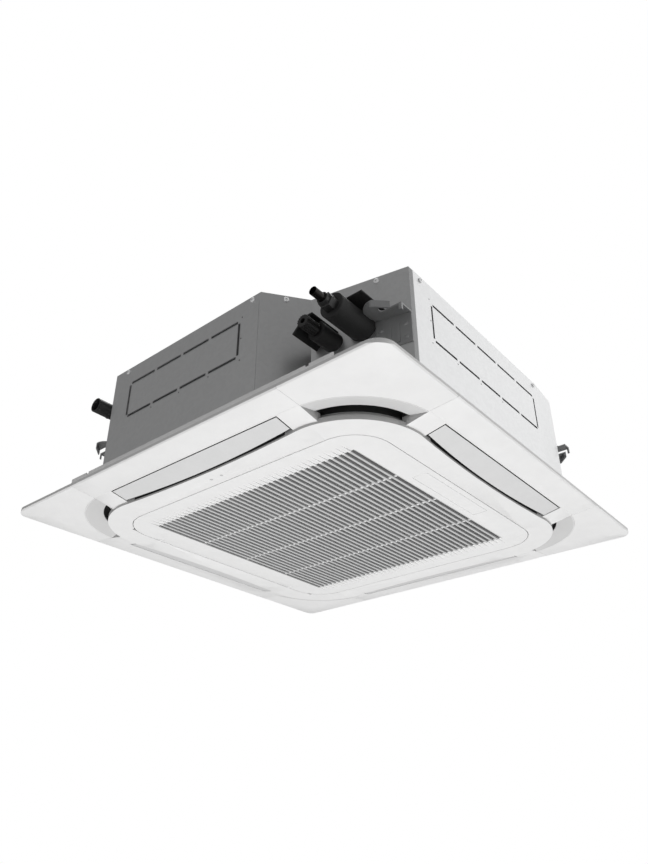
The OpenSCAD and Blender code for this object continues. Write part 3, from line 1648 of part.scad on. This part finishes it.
// The latch plate is pushed up to let go. Its two tongues reach towards the middle frame.
module grille_latch() {
    face = -ring_drop;
    color(panel_colour) at_rim() {
        layer(face, latch_t) translate([latch_x, 0]) square([latch_w, latch_l], center = true);
        for (s = [-1, 1]) translate([latch_x - latch_stem_w / 2, s * latch_stem_y - latch_stem_d / 2, face]) {
            cube([latch_stem_w, latch_stem_d, latch_up]);
            translate([0, 0, latch_up - tongue_t])
                cube([opening_half - tongue_gap - latch_x + latch_stem_w / 2, latch_stem_d, tongue_t]);
        }
    }
}

filter_side = 50.5;
filter_end = 22.5;
filter_half_x = grille_half - filter_side;
filter_half_y = grille_half - filter_end;
filter_t = 4;
filter_bar = 6;
mesh_t = 0.8;
bars = 3;

module air_filter() {
    z = -ring_drop + slat_h;
    color("#55585a") at_rim() {
        layer(z, filter_t) difference() {
            square([2 * filter_half_x, 2 * filter_half_y], center = true);
            square([2 * (filter_half_x - filter_bar), 2 * (filter_half_y - filter_bar)], center = true);
        }
        layer(z, filter_t) for (k = [1 : bars]) {
            translate([mid_share(-filter_half_x, filter_half_x, k / (bars + 1)) - filter_bar / 2, -filter_half_y])
                square([filter_bar, 2 * filter_half_y]);
            translate([-filter_half_x, mid_share(-filter_half_y, filter_half_y, k / (bars + 1)) - filter_bar / 2])
                square([2 * filter_half_x, filter_bar]);
        }
        layer(z + (filter_t - mesh_t) / 2, mesh_t) square([2 * filter_half_x, 2 * filter_half_y], center = true);
    }
}

side_plate_front();
side_plate_pipe();
side_plate_right();
side_plate_back();
side_plate_left();
top_plate();
casing_screws();
foam_liner();
top_insulation();
hanger_bracket_1();
hanger_bracket_2();
hanger_bracket_3();
hanger_bracket_4();
heat_exchanger();
coil_end_plates();
return_bends();
coil_header();
gas_pipe();
liquid_pipe();
gas_foam_sleeve();
liquid_foam_sleeve();
gas_flare_nut();
liquid_flare_nut();
pipe_wrap_pads();
drain_pan();
drain_pump();
pump_bracket();
pump_impeller();
drain_hose();
drain_outlet();
float_switch();
float();
fan_motor();
motor_bracket();
motor_shaft();
turbo_fan();
fan_nut();
bell_mouth();
control_box();
control_box_cover();
circuit_board();
cable_bush();
panel_frame();
panel_seal();
panel_brackets();
panel_bolts();
corner_covers();
louver_motors();
louver_1();
louver_2();
louver_3();
louver_4();
status_lamps();
lamp_board();
intake_grille();
grille_latch();
air_filter();
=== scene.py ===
import json
import math

import bmesh
import bpy
from mathutils import Euler, Matrix, Vector


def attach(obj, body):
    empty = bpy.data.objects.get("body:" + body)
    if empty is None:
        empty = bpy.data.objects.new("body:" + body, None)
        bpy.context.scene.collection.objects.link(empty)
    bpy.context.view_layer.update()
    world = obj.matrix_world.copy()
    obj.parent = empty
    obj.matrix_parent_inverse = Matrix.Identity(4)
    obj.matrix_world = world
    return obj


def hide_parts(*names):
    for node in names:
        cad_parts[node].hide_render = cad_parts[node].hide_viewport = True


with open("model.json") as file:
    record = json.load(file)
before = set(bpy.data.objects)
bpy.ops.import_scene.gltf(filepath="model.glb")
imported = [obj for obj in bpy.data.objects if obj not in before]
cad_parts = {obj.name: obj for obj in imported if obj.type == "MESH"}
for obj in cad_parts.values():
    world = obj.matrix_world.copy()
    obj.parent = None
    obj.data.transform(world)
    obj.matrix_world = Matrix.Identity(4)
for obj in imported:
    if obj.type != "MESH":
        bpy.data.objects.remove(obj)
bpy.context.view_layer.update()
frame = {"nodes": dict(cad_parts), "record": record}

# Casing plates
# Five bent plates of galvanised steel stand around the unit under a top plate with pressed beads.
# Each is folded in at the bottom and screwed to the top plate's flange, and slits frame the duct
# knock-outs.

mm = 0.001
x_axis, y_axis, z_axis = 0, 1, 2
weld = 0.01 * mm
on_plane = 0.001 * mm
still_flat = math.radians(0.5)
sharp_from = math.radians(30)
bevel_from = math.radians(35)


def new_material(name):
    """A new material, its node tree and its shader."""
    material = bpy.data.materials.new(name)
    material.use_nodes = True
    return material, material.node_tree, material.node_tree.nodes["Principled BSDF"]


def link(tree, source, output, target, socket):
    """Joins a node's output to another node's socket."""
    tree.links.new(source.outputs[output], target.inputs[socket])


def pattern(tree, kind, scale, stretch=(1, 1, 1), **inputs):
    """A procedural texture laid out in the piece's own metres."""
    place = tree.nodes.new("ShaderNodeTexCoord")
    mapping = tree.nodes.new("ShaderNodeMapping")
    mapping.inputs["Scale"].default_value = stretch
    texture = tree.nodes.new("ShaderNodeTex" + kind)
    texture.inputs["Scale"].default_value = scale
    for key, value in inputs.items():
        texture.inputs[key].default_value = value
    link(tree, place, "Object", mapping, "Vector")
    link(tree, mapping, "Vector", texture, "Vector")
    return texture


def shades(tree, shader, texture, output, dark, light, low=0.35, high=0.65):
    """Paints the pattern's range from one colour to another."""
    ramp = tree.nodes.new("ShaderNodeValToRGB")
    ramp.color_ramp.elements[0].position = low
    ramp.color_ramp.elements[0].color = (*dark, 1)
    ramp.color_ramp.elements[1].position = high
    ramp.color_ramp.elements[1].color = (*light, 1)
    link(tree, texture, output, ramp, "Fac")
    link(tree, ramp, "Color", shader, "Base Color")


def relief(tree, shader, texture, output, depth, strength=0.4):
    """Raises the pattern's bumps to this depth."""
    bump = tree.nodes.new("ShaderNodeBump")
    bump.inputs["Strength"].default_value = strength
    bump.inputs["Distance"].default_value = depth
    link(tree, texture, output, bump, "Height")
    link(tree, bump, "Normal", shader, "Normal")


def grey(value, warm=0.0):
    """A grey, with a little more red and less blue where it is warm."""
    return (value + warm, value, value - warm)


def steel(name, value, rough=0.42, metal=0.75):
    """Zinc-coated steel: spangles a few millimetres wide, a little cool, and a fine grain."""
    material, tree, shader = new_material(name)
    shader.inputs["Metallic"].default_value = metal
    shader.inputs["Roughness"].default_value = rough
    cool = -0.003
    dark, light = grey(value * 0.98, cool), grey(value * 1.02, cool)
    spangle = pattern(tree, "Voronoi", scale=140)
    shades(tree, shader, spangle, "Color", dark, light, low=0.2, high=0.8)
    grain = pattern(tree, "Noise", scale=60, Detail=4)
    relief(tree, shader, grain, "Fac", depth=0.3 * mm, strength=0.1)
    return material


def paint(node, material):
    """Gives a CAD node its material."""
    node_object = frame["nodes"][node]
    node_object.data.materials.clear()
    node_object.data.materials.append(material)


def body_of(node):
    """The moving or standing body that carries the node."""
    bodies = frame["record"]["behaviour"]["bodies"]
    return next(body for body, members in bodies.items() if node in members)


def work_mesh(node, join=False, planes=()):
    """The node's shape to work on, with its flat faces joined, or cut along planes of (axis, mm)."""
    work = bmesh.new()
    work.from_mesh(frame["nodes"][node].data)
    bmesh.ops.remove_doubles(work, verts=work.verts, dist=weld)
    if join:
        bmesh.ops.dissolve_limit(work, angle_limit=still_flat, verts=work.verts, edges=work.edges)
    for axis, level in planes:
        normal = Vector([float(k == axis) for k in range(3)])
        everything = work.verts[:] + work.edges[:] + work.faces[:]
        bmesh.ops.bisect_plane(work, geom=everything, dist=on_plane,
                               plane_co=normal * level * mm, plane_no=normal)
    return work


def box(work, low, high, turn=None):
    """Adds a box between two corners in metres, turned and moved by a matrix."""
    made = bmesh.ops.create_cube(work, size=1)["verts"]
    size = [b - a for a, b in zip(low, high)]
    middle = [(a + b) / 2 for a, b in zip(low, high)]
    place = Matrix.Translation(middle) @ Matrix.Diagonal((*size, 1))
    bmesh.ops.transform(work, matrix=(turn or Matrix()) @ place, verts=made)
    return made


def stand_in(node, work, materials):
    """Makes a piece of a work mesh that stands for the node and rides on its body."""
    name = node + "_fine"
    mesh = bpy.data.meshes.new(name)
    work.to_mesh(mesh)
    work.free()
    piece = bpy.data.objects.new(name, mesh)
    bpy.context.scene.collection.objects.link(piece)
    for material in materials:
        mesh.materials.append(material)
    mesh.shade_smooth()
    mesh.set_sharp_from_angle(angle=sharp_from)
    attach(piece, body_of(node))
    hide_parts(node)
    return piece


def fine_copy(node, rounding, materials, segments=2, face_material=None, work=None):
    """The node's own shape with its edges rounded by this width, or flat and sharp where it is 0.
    face_material gives the number of a face's material from its centre in mm and its normal."""
    work = work or work_mesh(node)
    if face_material:
        for face in work.faces:
            face.material_index = int(face_material(face.calc_center_median() / mm, face.normal))
    piece = stand_in(node, work, materials)
    if not rounding:
        piece.data.shade_flat()
        return
    bevel = piece.modifiers.new("edges", "BEVEL")
    bevel.width = rounding
    bevel.segments = segments
    bevel.limit_method = "ANGLE"
    bevel.angle_limit = bevel_from
    bevel.harden_normals = True


casing_steel = steel("galvanised_sheet", 0.68, rough=0.36, metal=0.9)
shaded_steel = steel("shaded_sheet", 0.30, rough=0.5, metal=0.3)
slit_black = steel("slit_shadow", 0.01, rough=0.9, metal=0)
plate_materials = [casing_steel, shaded_steel, slit_black]
shaded_face = 1
slit_face = 2
knock_out_low = -26
knock_out_high = 64
shortest_slit = 15
slit_margin = 0.9
margin_film = 0.1
wall_reach = 1.5
square_on = 0.1


def slit_shadows(work, out):
    """Lays a dark margin along each slit wall of the duct knock-out, on the plate's outer side."""
    out = Vector(out)
    outer = max(v.co.dot(out) for v in work.verts) / mm
    walls = {}
    for face in work.faces:
        points = [v.co / mm for v in face.verts]
        low = Vector([min(p[k] for p in points) for k in range(3)])
        high = Vector([max(p[k] for p in points) for k in range(3)])
        in_knock_out = low.z > knock_out_low and high.z < knock_out_high
        long_wall = abs(face.normal.dot(out)) < square_on and (high - low).length > shortest_slit
        at_outside = max(p.dot(out) for p in points) > outer - wall_reach
        if in_knock_out and long_wall and at_outside:
            walls[tuple(round(v, 1) for v in (*low, *high))] = (low, high, face.normal.copy())
    for low, high, normal in walls.values():
        margin = -normal * slit_margin
        for k in range(3):
            low[k] += min(0, margin[k])
            high[k] += max(0, margin[k])
            if out[k]:
                low[k] = outer * out[k] - margin_film
                high[k] = outer * out[k] + margin_film
        made = box(work, low * mm, high * mm)
        for face in {f for v in made for f in v.link_faces}:
            face.material_index = slit_face


# The front plate's joint shows as a narrow upright strip
casing_half = 420
seam_x = 164.5
seam_half = 3
seam_proud = 0.7
seam_low = -141
seam_high = 84
front = work_mesh("side_plate_front")
box(front, Vector((seam_x - seam_half, -casing_half - seam_proud, seam_low)) * mm,
    Vector((seam_x + seam_half, -casing_half, seam_high)) * mm)

# The right plate's strip in front of the fold is in shade
fold_y = -289
faces_right = 0.5
right = work_mesh("side_plate_right", planes=[(y_axis, fold_y)])
for face in right.faces:
    if face.calc_center_median().y < fold_y * mm and face.normal.x > faces_right:
        face.material_index = shaded_face

for node, out, plate in (("side_plate_front", (0, -1, 0), front),
                         ("side_plate_right", (1, 0, 0), right),
                         ("side_plate_back", (0, 1, 0), work_mesh("side_plate_back")),
                         ("side_plate_left", (-1, 0, 0), work_mesh("side_plate_left"))):
    slit_shadows(plate, out)
    fine_copy(node, 0, plate_materials, work=plate)
for node in ("side_plate_pipe", "top_plate"):
    paint(node, casing_steel)

# Casing screws
# Each is a zinc-plated pan head with a cross recess, driven through a side plate into the top
# plate's flange. Its round top is laid on the plain disc of the CAD model. The head is painted near
# white as a painted highlight, and the recess is a thin box painted darker as painted shade.

screw_head_painted_highlight = steel("screw_head_painted_highlight", 0.98, rough=0.35, metal=0)
recess_painted_shade = steel("recess_painted_shade", 0.60, rough=0.5, metal=0.2)
screw_count = 12
head_height = 1.0 * mm
head_share = 1.12
recess_long_share = 0.5
recess_wide_share = 0.14
recess_top = head_height + 0.05 * mm


def dome(work, place, out, radius, height, rings=5, around=24):
    """A low round head on a face, its foot at place. Gives the matrix that turns it there."""
    turn = Matrix.Translation(place) @ out.to_track_quat("Z", "Y").to_matrix().to_4x4()
    tip_radius = 0.05 * mm
    rows = []
    for k in range(rings):
        tilt = k / (rings - 1) * math.pi / 2
        r = max(radius * math.sin(tilt), tip_radius)
        z = height * math.cos(tilt)
        angles = [j / around * 2 * math.pi for j in range(around)]
        rows.append([work.verts.new(turn @ Vector((r * math.cos(a), r * math.sin(a), z)))
                     for a in angles])
    for inner, outer in zip(rows, rows[1:]):
        for j in range(around):
            after = (j + 1) % around
            work.faces.new((inner[j], outer[j], outer[after], inner[after]))
    work.faces.new(rows[0])
    return turn


heads = work_mesh("casing_screws", join=True)
discs = sorted(heads.faces, key=lambda face: -face.calc_area())[:screw_count]
places = [(disc.calc_center_bounds(), disc.normal.copy(), math.sqrt(disc.calc_area() / math.pi))
          for disc in discs]
recesses = set()
for centre, out, radius in places:
    turn = dome(heads, centre, out, radius * head_share, head_height)
    long_half = recess_long_share * radius
    wide_half = recess_wide_share * radius
    for a, b in ((long_half, wide_half), (wide_half, long_half)):
        recesses.update(box(heads, (-a, -b, 0), (a, b, recess_top), turn))
# Faces wholly of a recess box get the recess's painted shade.
for face in heads.faces:
    face.material_index = int(all(v in recesses for v in face.verts))
stand_in("casing_screws", heads, [screw_head_painted_highlight, recess_painted_shade])

# Hanger brackets
# Four lugs of thicker galvanised plate carry the unit, each with an open slot for a rod and lips
# turned down at its outer edge. Rivets hold their upright plates to the casing's cut corners, and
# pressed ribs stiffen them.

lug_steel = steel("lug_plate", 0.32, rough=0.5, metal=0.5)
smallest_upright = 1500 * mm * mm
rivet_radius = 4 * mm
rivet_height = 1.4 * mm
rivet_width_shares = (0.16, 0.84)
rivet_height_shares = (0.2, 0.62)
rib_half = 3 * mm
rib_proud = 1.2 * mm
rib_foot = 6 * mm
rib_top_share = 0.72
rib_width_shares = (0.38, 0.62)
up = Vector((0, 0, 1))


def place_on(plate, side, width_share, height_share):
    """The point of an upright face at these shares of its width and height."""
    along = [v.co.dot(side) for v in plate.verts]
    levels = [v.co.z for v in plate.verts]
    centre = plate.calc_center_median()
    reach = min(along) + width_share * (max(along) - min(along))
    place = centre + side * (reach - centre.dot(side))
    place.z = min(levels) + height_share * (max(levels) - min(levels))
    return place


for corner in range(1, 5):
    node = "hanger_bracket_%d" % corner
    bracket = work_mesh(node)
    flat = work_mesh(node, join=True)
    uprights = [f for f in flat.faces
                if abs(f.normal.z) < square_on and f.calc_area() > smallest_upright]
    plate = max(uprights, key=lambda f: f.calc_center_median().xy.dot(f.normal.xy))
    side = up.cross(plate.normal)
    for width_share in rivet_width_shares:
        for height_share in rivet_height_shares:
            spot = place_on(plate, side, width_share, height_share)
            dome(bracket, spot, plate.normal.copy(), rivet_radius, rivet_height)
    levels = [v.co.z for v in plate.verts]
    rib_top = (max(levels) - min(levels)) * rib_top_share
    upright_axes = Matrix((side, plate.normal, up)).transposed().to_4x4()
    for width_share in rib_width_shares:
        turn = Matrix.Translation(place_on(plate, side, width_share, 0)) @ upright_axes
        box(bracket, (-rib_half, 0, rib_foot), (rib_half, rib_proud, rib_top), turn)
    flat.free()
    fine_copy(node, 0, [lug_steel], work=bracket)

# Linings and drain pan
# Closed-cell foam lines the side plates, painted black as painted shade for what shows through the
# slits, and pale bead foam the top plate, both glued on. The drain pan is moulded from the bead foam,
# and it is painted black around its air ducts as painted shade.


def bead_foam(name, value):
    """Foam of moulded beads a few millimetres wide."""
    material, tree, shader = new_material(name)
    shader.inputs["Roughness"].default_value = 0.85
    beads = pattern(tree, "Voronoi", scale=260)
    bead, groove = grey(value, 0.01), grey(value * 0.9, 0.01)
    shades(tree, shader, beads, "Distance", bead, groove, low=0.1, high=0.7)
    relief(tree, shader, beads, "Distance", depth=0.6 * mm, strength=0.5)
    return material


def skin_foam(name, value):
    """Closed-cell foam with a finely pitted skin."""
    material, tree, shader = new_material(name)
    shader.inputs["Roughness"].default_value = 0.7
    cells = pattern(tree, "Noise", scale=900, Detail=6)
    shades(tree, shader, cells, "Fac", grey(value * 0.7), grey(value * 1.3))
    pits = pattern(tree, "Noise", scale=240, Detail=8)
    relief(tree, shader, pits, "Fac", depth=0.8 * mm, strength=0.5)
    return material


pan_duct_in = 364
pan_duct_out = 404
pan_round = 0.5 * mm


def beside_duct_shade(centre, normal):
    """1 for the pan's faces around its air ducts, painted black as painted shade."""
    return pan_duct_in < max(abs(centre.x), abs(centre.y)) < pan_duct_out


pale_foam = bead_foam("bead_foam", 0.80)
# Black foam of the sleeves and pads, and painted shade on the liner, the pan's ducts and the frame's
# duct walls.
black_foam_and_painted_shade = skin_foam("black_foam_and_painted_shade", 0.016)
paint("top_insulation", pale_foam)
paint("foam_liner", black_foam_and_painted_shade)
fine_copy("drain_pan", pan_round, [pale_foam, black_foam_and_painted_shade], segments=1, face_material=beside_duct_shade)

# Heat exchanger
# Two rows of copper tube run through a stack of thin aluminium fins bent around the fan. Steel end
# plates close its ends, and brazed bends join the tubes.

zinc = steel("zinc_plate", 0.72, rough=0.3, metal=0.9)


def fins(name):
    """Thin bright fins with painted shade in the gaps between them, upright all the way round."""
    material, tree, shader = new_material(name)
    shader.inputs["Metallic"].default_value = 0.8
    shader.inputs["Roughness"].default_value = 0.35
    rows = pattern(tree, "Wave", scale=260, stretch=(1, 1, 0), Distortion=0.0)
    shades(tree, shader, rows, "Fac", grey(0.35), grey(0.78), low=0.3, high=0.7)
    relief(tree, shader, rows, "Fac", depth=0.8 * mm, strength=0.8)
    return material


def copper_tube(name, colour):
    """Drawn tube with darker stains."""
    material, tree, shader = new_material(name)
    shader.inputs["Metallic"].default_value = 0.95
    shader.inputs["Roughness"].default_value = 0.32
    stain = pattern(tree, "Noise", scale=45, Detail=5)
    shades(tree, shader, stain, "Fac", tuple(c * 0.75 for c in colour), colour)
    relief(tree, shader, stain, "Fac", depth=0.1 * mm, strength=0.2)
    return material


copper = copper_tube("copper_tube", (0.72, 0.40, 0.25))
paint("heat_exchanger", fins("coil_fins"))
paint("coil_end_plates", zinc)
paint("return_bends", copper)
paint("coil_header", copper)

# Pipes and their sleeves
# The liquid pipe is bare copper and the gas pipe is dark outside. Black foam sleeves, cut square and
# glued along a seam, cover both, and two flaps of the same foam lie over them at the casing.

sleeve_round = 0.8 * mm
paint("liquid_pipe", copper)
paint("gas_pipe", copper_tube("dark_tube", (0.03, 0.028, 0.027)))
for node in ("gas_foam_sleeve", "liquid_foam_sleeve", "pipe_wrap_pads"):
    fine_copy(node, sleeve_round, [black_foam_and_painted_shade])

# Nuts and drain stub
# A hexagon flare nut closes the gas pipe and a ribbed cap nut the liquid pipe. The drain stub is a
# moulded black tube with an open end.


def moulded(name, colour, rough=0.45, grain=700, depth=0.08 * mm, vary=0.04):
    """Moulded plastic with a fine grain and a slightly uneven tone."""
    material, tree, shader = new_material(name)
    shader.inputs["Roughness"].default_value = rough
    tone = pattern(tree, "Noise", scale=30, Detail=3)
    dark = tuple(c * (1 - vary) for c in colour)
    light = tuple(min(1, c * (1 + vary)) for c in colour)
    shades(tree, shader, tone, "Fac", dark, light)
    relief(tree, shader, pattern(tree, "Noise", scale=grain, Detail=4), "Fac", depth, strength=0.25)
    return material


nut_round = 0.5 * mm
black_plastic = moulded("black_moulding", grey(0.014))
for node in ("gas_flare_nut", "liquid_flare_nut", "drain_outlet"):
    fine_copy(node, nut_round, [black_plastic])

# Drain pump and float switch
# A small moulded pump on a zinc-plated bracket lifts the pan's water through a hose to the stub. A
# float on a stem guards the level.

pale_plastic = moulded("pale_moulding", (0.66, 0.67, 0.64))
for node in ("drain_pump", "pump_impeller", "drain_hose", "float_switch", "float"):
    paint(node, pale_plastic)
paint("pump_bracket", zinc)

# Fan and motor
# A moulded turbo fan hangs on the motor's shaft, held by a nut, over a moulded bell mouth. The motor
# hangs on rubber mounts from a plate with three legs under the top plate.

paint("turbo_fan", moulded("fan_moulding", grey(0.82)))
paint("bell_mouth", pale_plastic)
paint("fan_motor", steel("motor_casting", 0.5, rough=0.5))
paint("motor_bracket", lug_steel)
paint("motor_shaft", zinc)
paint("fan_nut", zinc)

# Electrical box
# A folded steel box under the bell mouth holds the board, and its cover faces the grille. A moulded
# bush in the back plate takes the cable.


def board(name):
    """A circuit board's green lacquer, patchy with parts and tracks."""
    return moulded(name, (0.05, 0.16, 0.07), rough=0.35, vary=0.4)


paint("control_box", lug_steel)
paint("control_box_cover", lug_steel)
paint("circuit_board", board("board_green"))
fine_copy("cable_bush", nut_round, [black_plastic])

# Ceiling panel
# The frame is one large moulding in off-white plastic with a fine matt grain. Steel feet and bolts
# hold it to the casing, and foam strips seal its duct walls to it.


def panel_plastic(name, value, rough, warm=0.002):
    """The panel's matt plastic, even in tone, with a very fine grain."""
    return moulded(name, grey(value, warm), rough, grain=900, depth=0.05 * mm, vary=0.012)


panel_white = panel_plastic("panel_white", 0.80, rough=0.42)
shade_white = panel_plastic("shaded_wall_white", 0.42, rough=0.5)
edge_painted_shade = panel_plastic("edge_painted_shade", 0.62, rough=0.45)
# The duct walls are painted black, the outlets' walls grey and the rim and corner bands a lighter
# grey, all as painted shade.
frame_materials = [panel_white, black_foam_and_painted_shade, shade_white, edge_painted_shade]
plain_face, black_shade_face, shade_face, edge_shade_face = range(4)
frame_round = 0.6 * mm
rim_in = 470
outlet_out = 418.5
outlet_in = 330
outlet_half = 200.5
end_wall_reach = 1
corner_band_in = 250
duct_z = -176
corner_band_z = -186
corner_slot_z = -190
louver_z = -194.3
wall_tilt = 0.7
upright_tilt = 0.3
level_tilt = 0.985


def frame_face(centre, normal):
    """Painted-shade black for the duct walls and the walls beside the louvers, painted shade for the
    outlets' other walls, a lighter painted shade for the rim and the sloping corner bands, and plain
    elsewhere."""
    across, along = sorted((abs(centre.x), abs(centre.y)))
    tilt = abs(normal.z)
    if along > rim_in:
        return edge_shade_face if tilt < wall_tilt else plain_face
    if along < outlet_out and tilt < wall_tilt and centre.z > duct_z:
        return black_shade_face
    if along < outlet_in:
        in_corner_slot = centre.z > corner_slot_z and across > outlet_half
        return shade_face if tilt < upright_tilt and in_corner_slot else plain_face
    if along > outlet_out:
        return plain_face
    if tilt < wall_tilt and centre.z > louver_z and across < outlet_half + end_wall_reach:
        return black_shade_face
    if tilt < upright_tilt:
        return shade_face
    in_corner_band = across > corner_band_in and corner_band_z < centre.z < duct_z
    return edge_shade_face if tilt < level_tilt and in_corner_band else plain_face


outlets = work_mesh("panel_frame", planes=[
    (z_axis, duct_z), (z_axis, louver_z), (x_axis, -outlet_half), (x_axis, outlet_half),
    (y_axis, -outlet_half), (y_axis, outlet_half)])
fine_copy("panel_frame", frame_round, frame_materials, face_material=frame_face, work=outlets)
paint("panel_seal", skin_foam("grey_seal", 0.1))
paint("panel_brackets", lug_steel)
paint("panel_bolts", zinc)

# Corner covers
# Four covers of the panel's plastic clip over its corners and hide the bolts. Their outer edges are
# painted darker as painted shade.

cover_out = 440
cover_round = 1.0 * mm


def cover_edge_shade(centre, normal):
    """1 for the covers' outer edges, painted darker as painted shade."""
    return abs(normal.z) < wall_tilt and max(abs(centre.x), abs(centre.y)) > cover_out


fine_copy("corner_covers", cover_round, [panel_white, edge_painted_shade], segments=3,
          face_material=cover_edge_shade)

# Status lamps
# Two small lenses of clear grey plastic stand in the panel, and a board behind them carries the
# lamps.

paint("status_lamps", moulded("lamp_lens", grey(0.55), rough=0.15))
paint("lamp_board", board("lamp_board_green"))

# Louvers
# Each outlet has one curved flap of slightly greyer plastic on two pins, its outer edge painted near
# black as painted shade. A small motor at its end turns it.

louver_plastic = panel_plastic("louver_grey", 0.66, rough=0.4, warm=0)
louver_edge_painted_shade = moulded("louver_edge", grey(0.02), rough=0.8)
strip_tilt = 0.6
strip_z = -170
louver_round = 0.6 * mm


def edge_shade_strip(centre, normal):
    """1 for the flap's outer edge, low down, which is painted near black as painted shade."""
    faces_out = centre.xy.dot(normal.xy) > 0
    return abs(normal.z) < strip_tilt and faces_out and centre.z < strip_z


for outlet in range(1, 5):
    fine_copy("louver_%d" % outlet, louver_round, [louver_plastic, louver_edge_painted_shade], segments=3,
              face_material=edge_shade_strip)
paint("louver_motors", pale_plastic)

# Intake grille
# A moulded plate with rows of slots hangs on two hinges. Its latch plate is pushed up to let it down,
# and the filter lies on its slats.

# The slats are painted darker than the grille's own plastic, as painted shade.
slat_painted_shade = panel_plastic("slat_painted_shade_grey", 0.53, rough=0.5, warm=0)
zone_half = 263.5
slat_face_z = -197.5
grille_round = 0.3 * mm
latch_round = 0.4 * mm


def slat_shade_face(centre, normal):
    """1 for the lower faces and the x-facing walls of the slotted zone, painted darker as painted
    shade.
    """
    in_zone = max(abs(centre.x), abs(centre.y)) < zone_half
    return in_zone and (abs(normal.x) > wall_tilt or centre.z < slat_face_z)


slats = work_mesh("intake_grille", planes=[
    (x_axis, -zone_half), (x_axis, zone_half), (y_axis, -zone_half), (y_axis, zone_half)])
fine_copy("intake_grille", grille_round, [panel_white, slat_painted_shade], face_material=slat_shade_face,
          work=slats)
fine_copy("grille_latch", latch_round, [panel_white])
# The filter is painted near black as painted shade seen through the slots.
paint("air_filter", moulded("filter_painted_shade", grey(0.03), rough=0.8))

# Floor and light
# A pale floor lies well below the unit. The front is in shade and the right side is lit, as in the
# photograph, and the camera alone sees the white around the floor.

floor_z = -3.2
floor_half = 6.0
bpy.ops.mesh.primitive_plane_add(size=2 * floor_half, location=(0, 0, floor_z))
floor = bpy.context.object
floor.name = "studio_floor"
floor_paint, _, floor_shader = new_material("floor_white")
floor_shader.inputs["Base Color"].default_value = (0.9, 0.9, 0.9, 1)
floor_shader.inputs["Roughness"].default_value = 0.9
floor.data.materials.append(floor_paint)


def area_light(name, place, aim, size, power):
    """A square soft light, with its size in metres and its power in watts."""
    data = bpy.data.lights.new(name, "AREA")
    data.shape = "SQUARE"
    data.size = size
    data.energy = power
    lamp = bpy.data.objects.new(name, data)
    bpy.context.scene.collection.objects.link(lamp)
    lamp.location = place
    lamp.rotation_euler = (Vector(aim) - Vector(place)).to_track_quat("-Z", "Y").to_euler()


area_light("sheen_light", place=(1.9, 2.7, 1.9), aim=(0.4, 0, 0), size=3.2, power=33)
area_light("right_light", place=(3.0, 0.3, -0.2), aim=(0, 0, 0), size=2.5, power=26)
area_light("low_light", place=(0.1, -0.1, -3.0), aim=(0, 0, -0.2), size=2.2, power=59)
area_light("top_light", place=(-0.6, 0.4, 3.6), aim=(0, 0, 0), size=3.0, power=110)
area_light("front_light", place=(-0.6, -3.2, -0.4), aim=(0, 0, 0), size=2.0, power=12)

world = bpy.data.worlds.new("studio")
bpy.context.scene.world = world
world.use_nodes = True
sky = world.node_tree
dim = sky.nodes["Background"]
dim.inputs["Color"].default_value = (1, 1, 1, 1)
dim.inputs["Strength"].default_value = 0.24
white = sky.nodes.new("ShaderNodeBackground")
white.inputs["Color"].default_value = (1, 1, 1, 1)
white.inputs["Strength"].default_value = 1.0
rays = sky.nodes.new("ShaderNodeLightPath")
choose = sky.nodes.new("ShaderNodeMixShader")
link(sky, rays, "Is Camera Ray", choose, 0)
link(sky, dim, 0, choose, 1)
link(sky, white, 0, choose, 2)
link(sky, choose, 0, sky.nodes["World Output"], "Surface")

# Camera
# It stands below the panel, in front of the pipe corner's side and to its right, and looks up. Its
# place, angles in degrees and focal length come from the straight edges in the photograph.

eye = Vector((952.1, -1176.1, -821.0)) * mm
pitch = 119.9889
roll = 0.0951
heading = 39.8352
focal_px = 753.3
photo_height_px = 864
sensor = 36
camera_data = bpy.data.cameras.new("camera")
camera = bpy.data.objects.new("camera", camera_data)
bpy.context.scene.collection.objects.link(camera)
view_turn = Euler([math.radians(angle) for angle in (pitch, roll, heading)]).to_matrix().to_4x4()
camera.matrix_world = Matrix.Translation(eye) @ view_turn
camera_data.sensor_width = sensor
camera_data.lens = focal_px / photo_height_px * sensor
camera_data.clip_end = 100
bpy.context.scene.camera = camera
bpy.context.scene.view_settings.view_transform = "Standard"
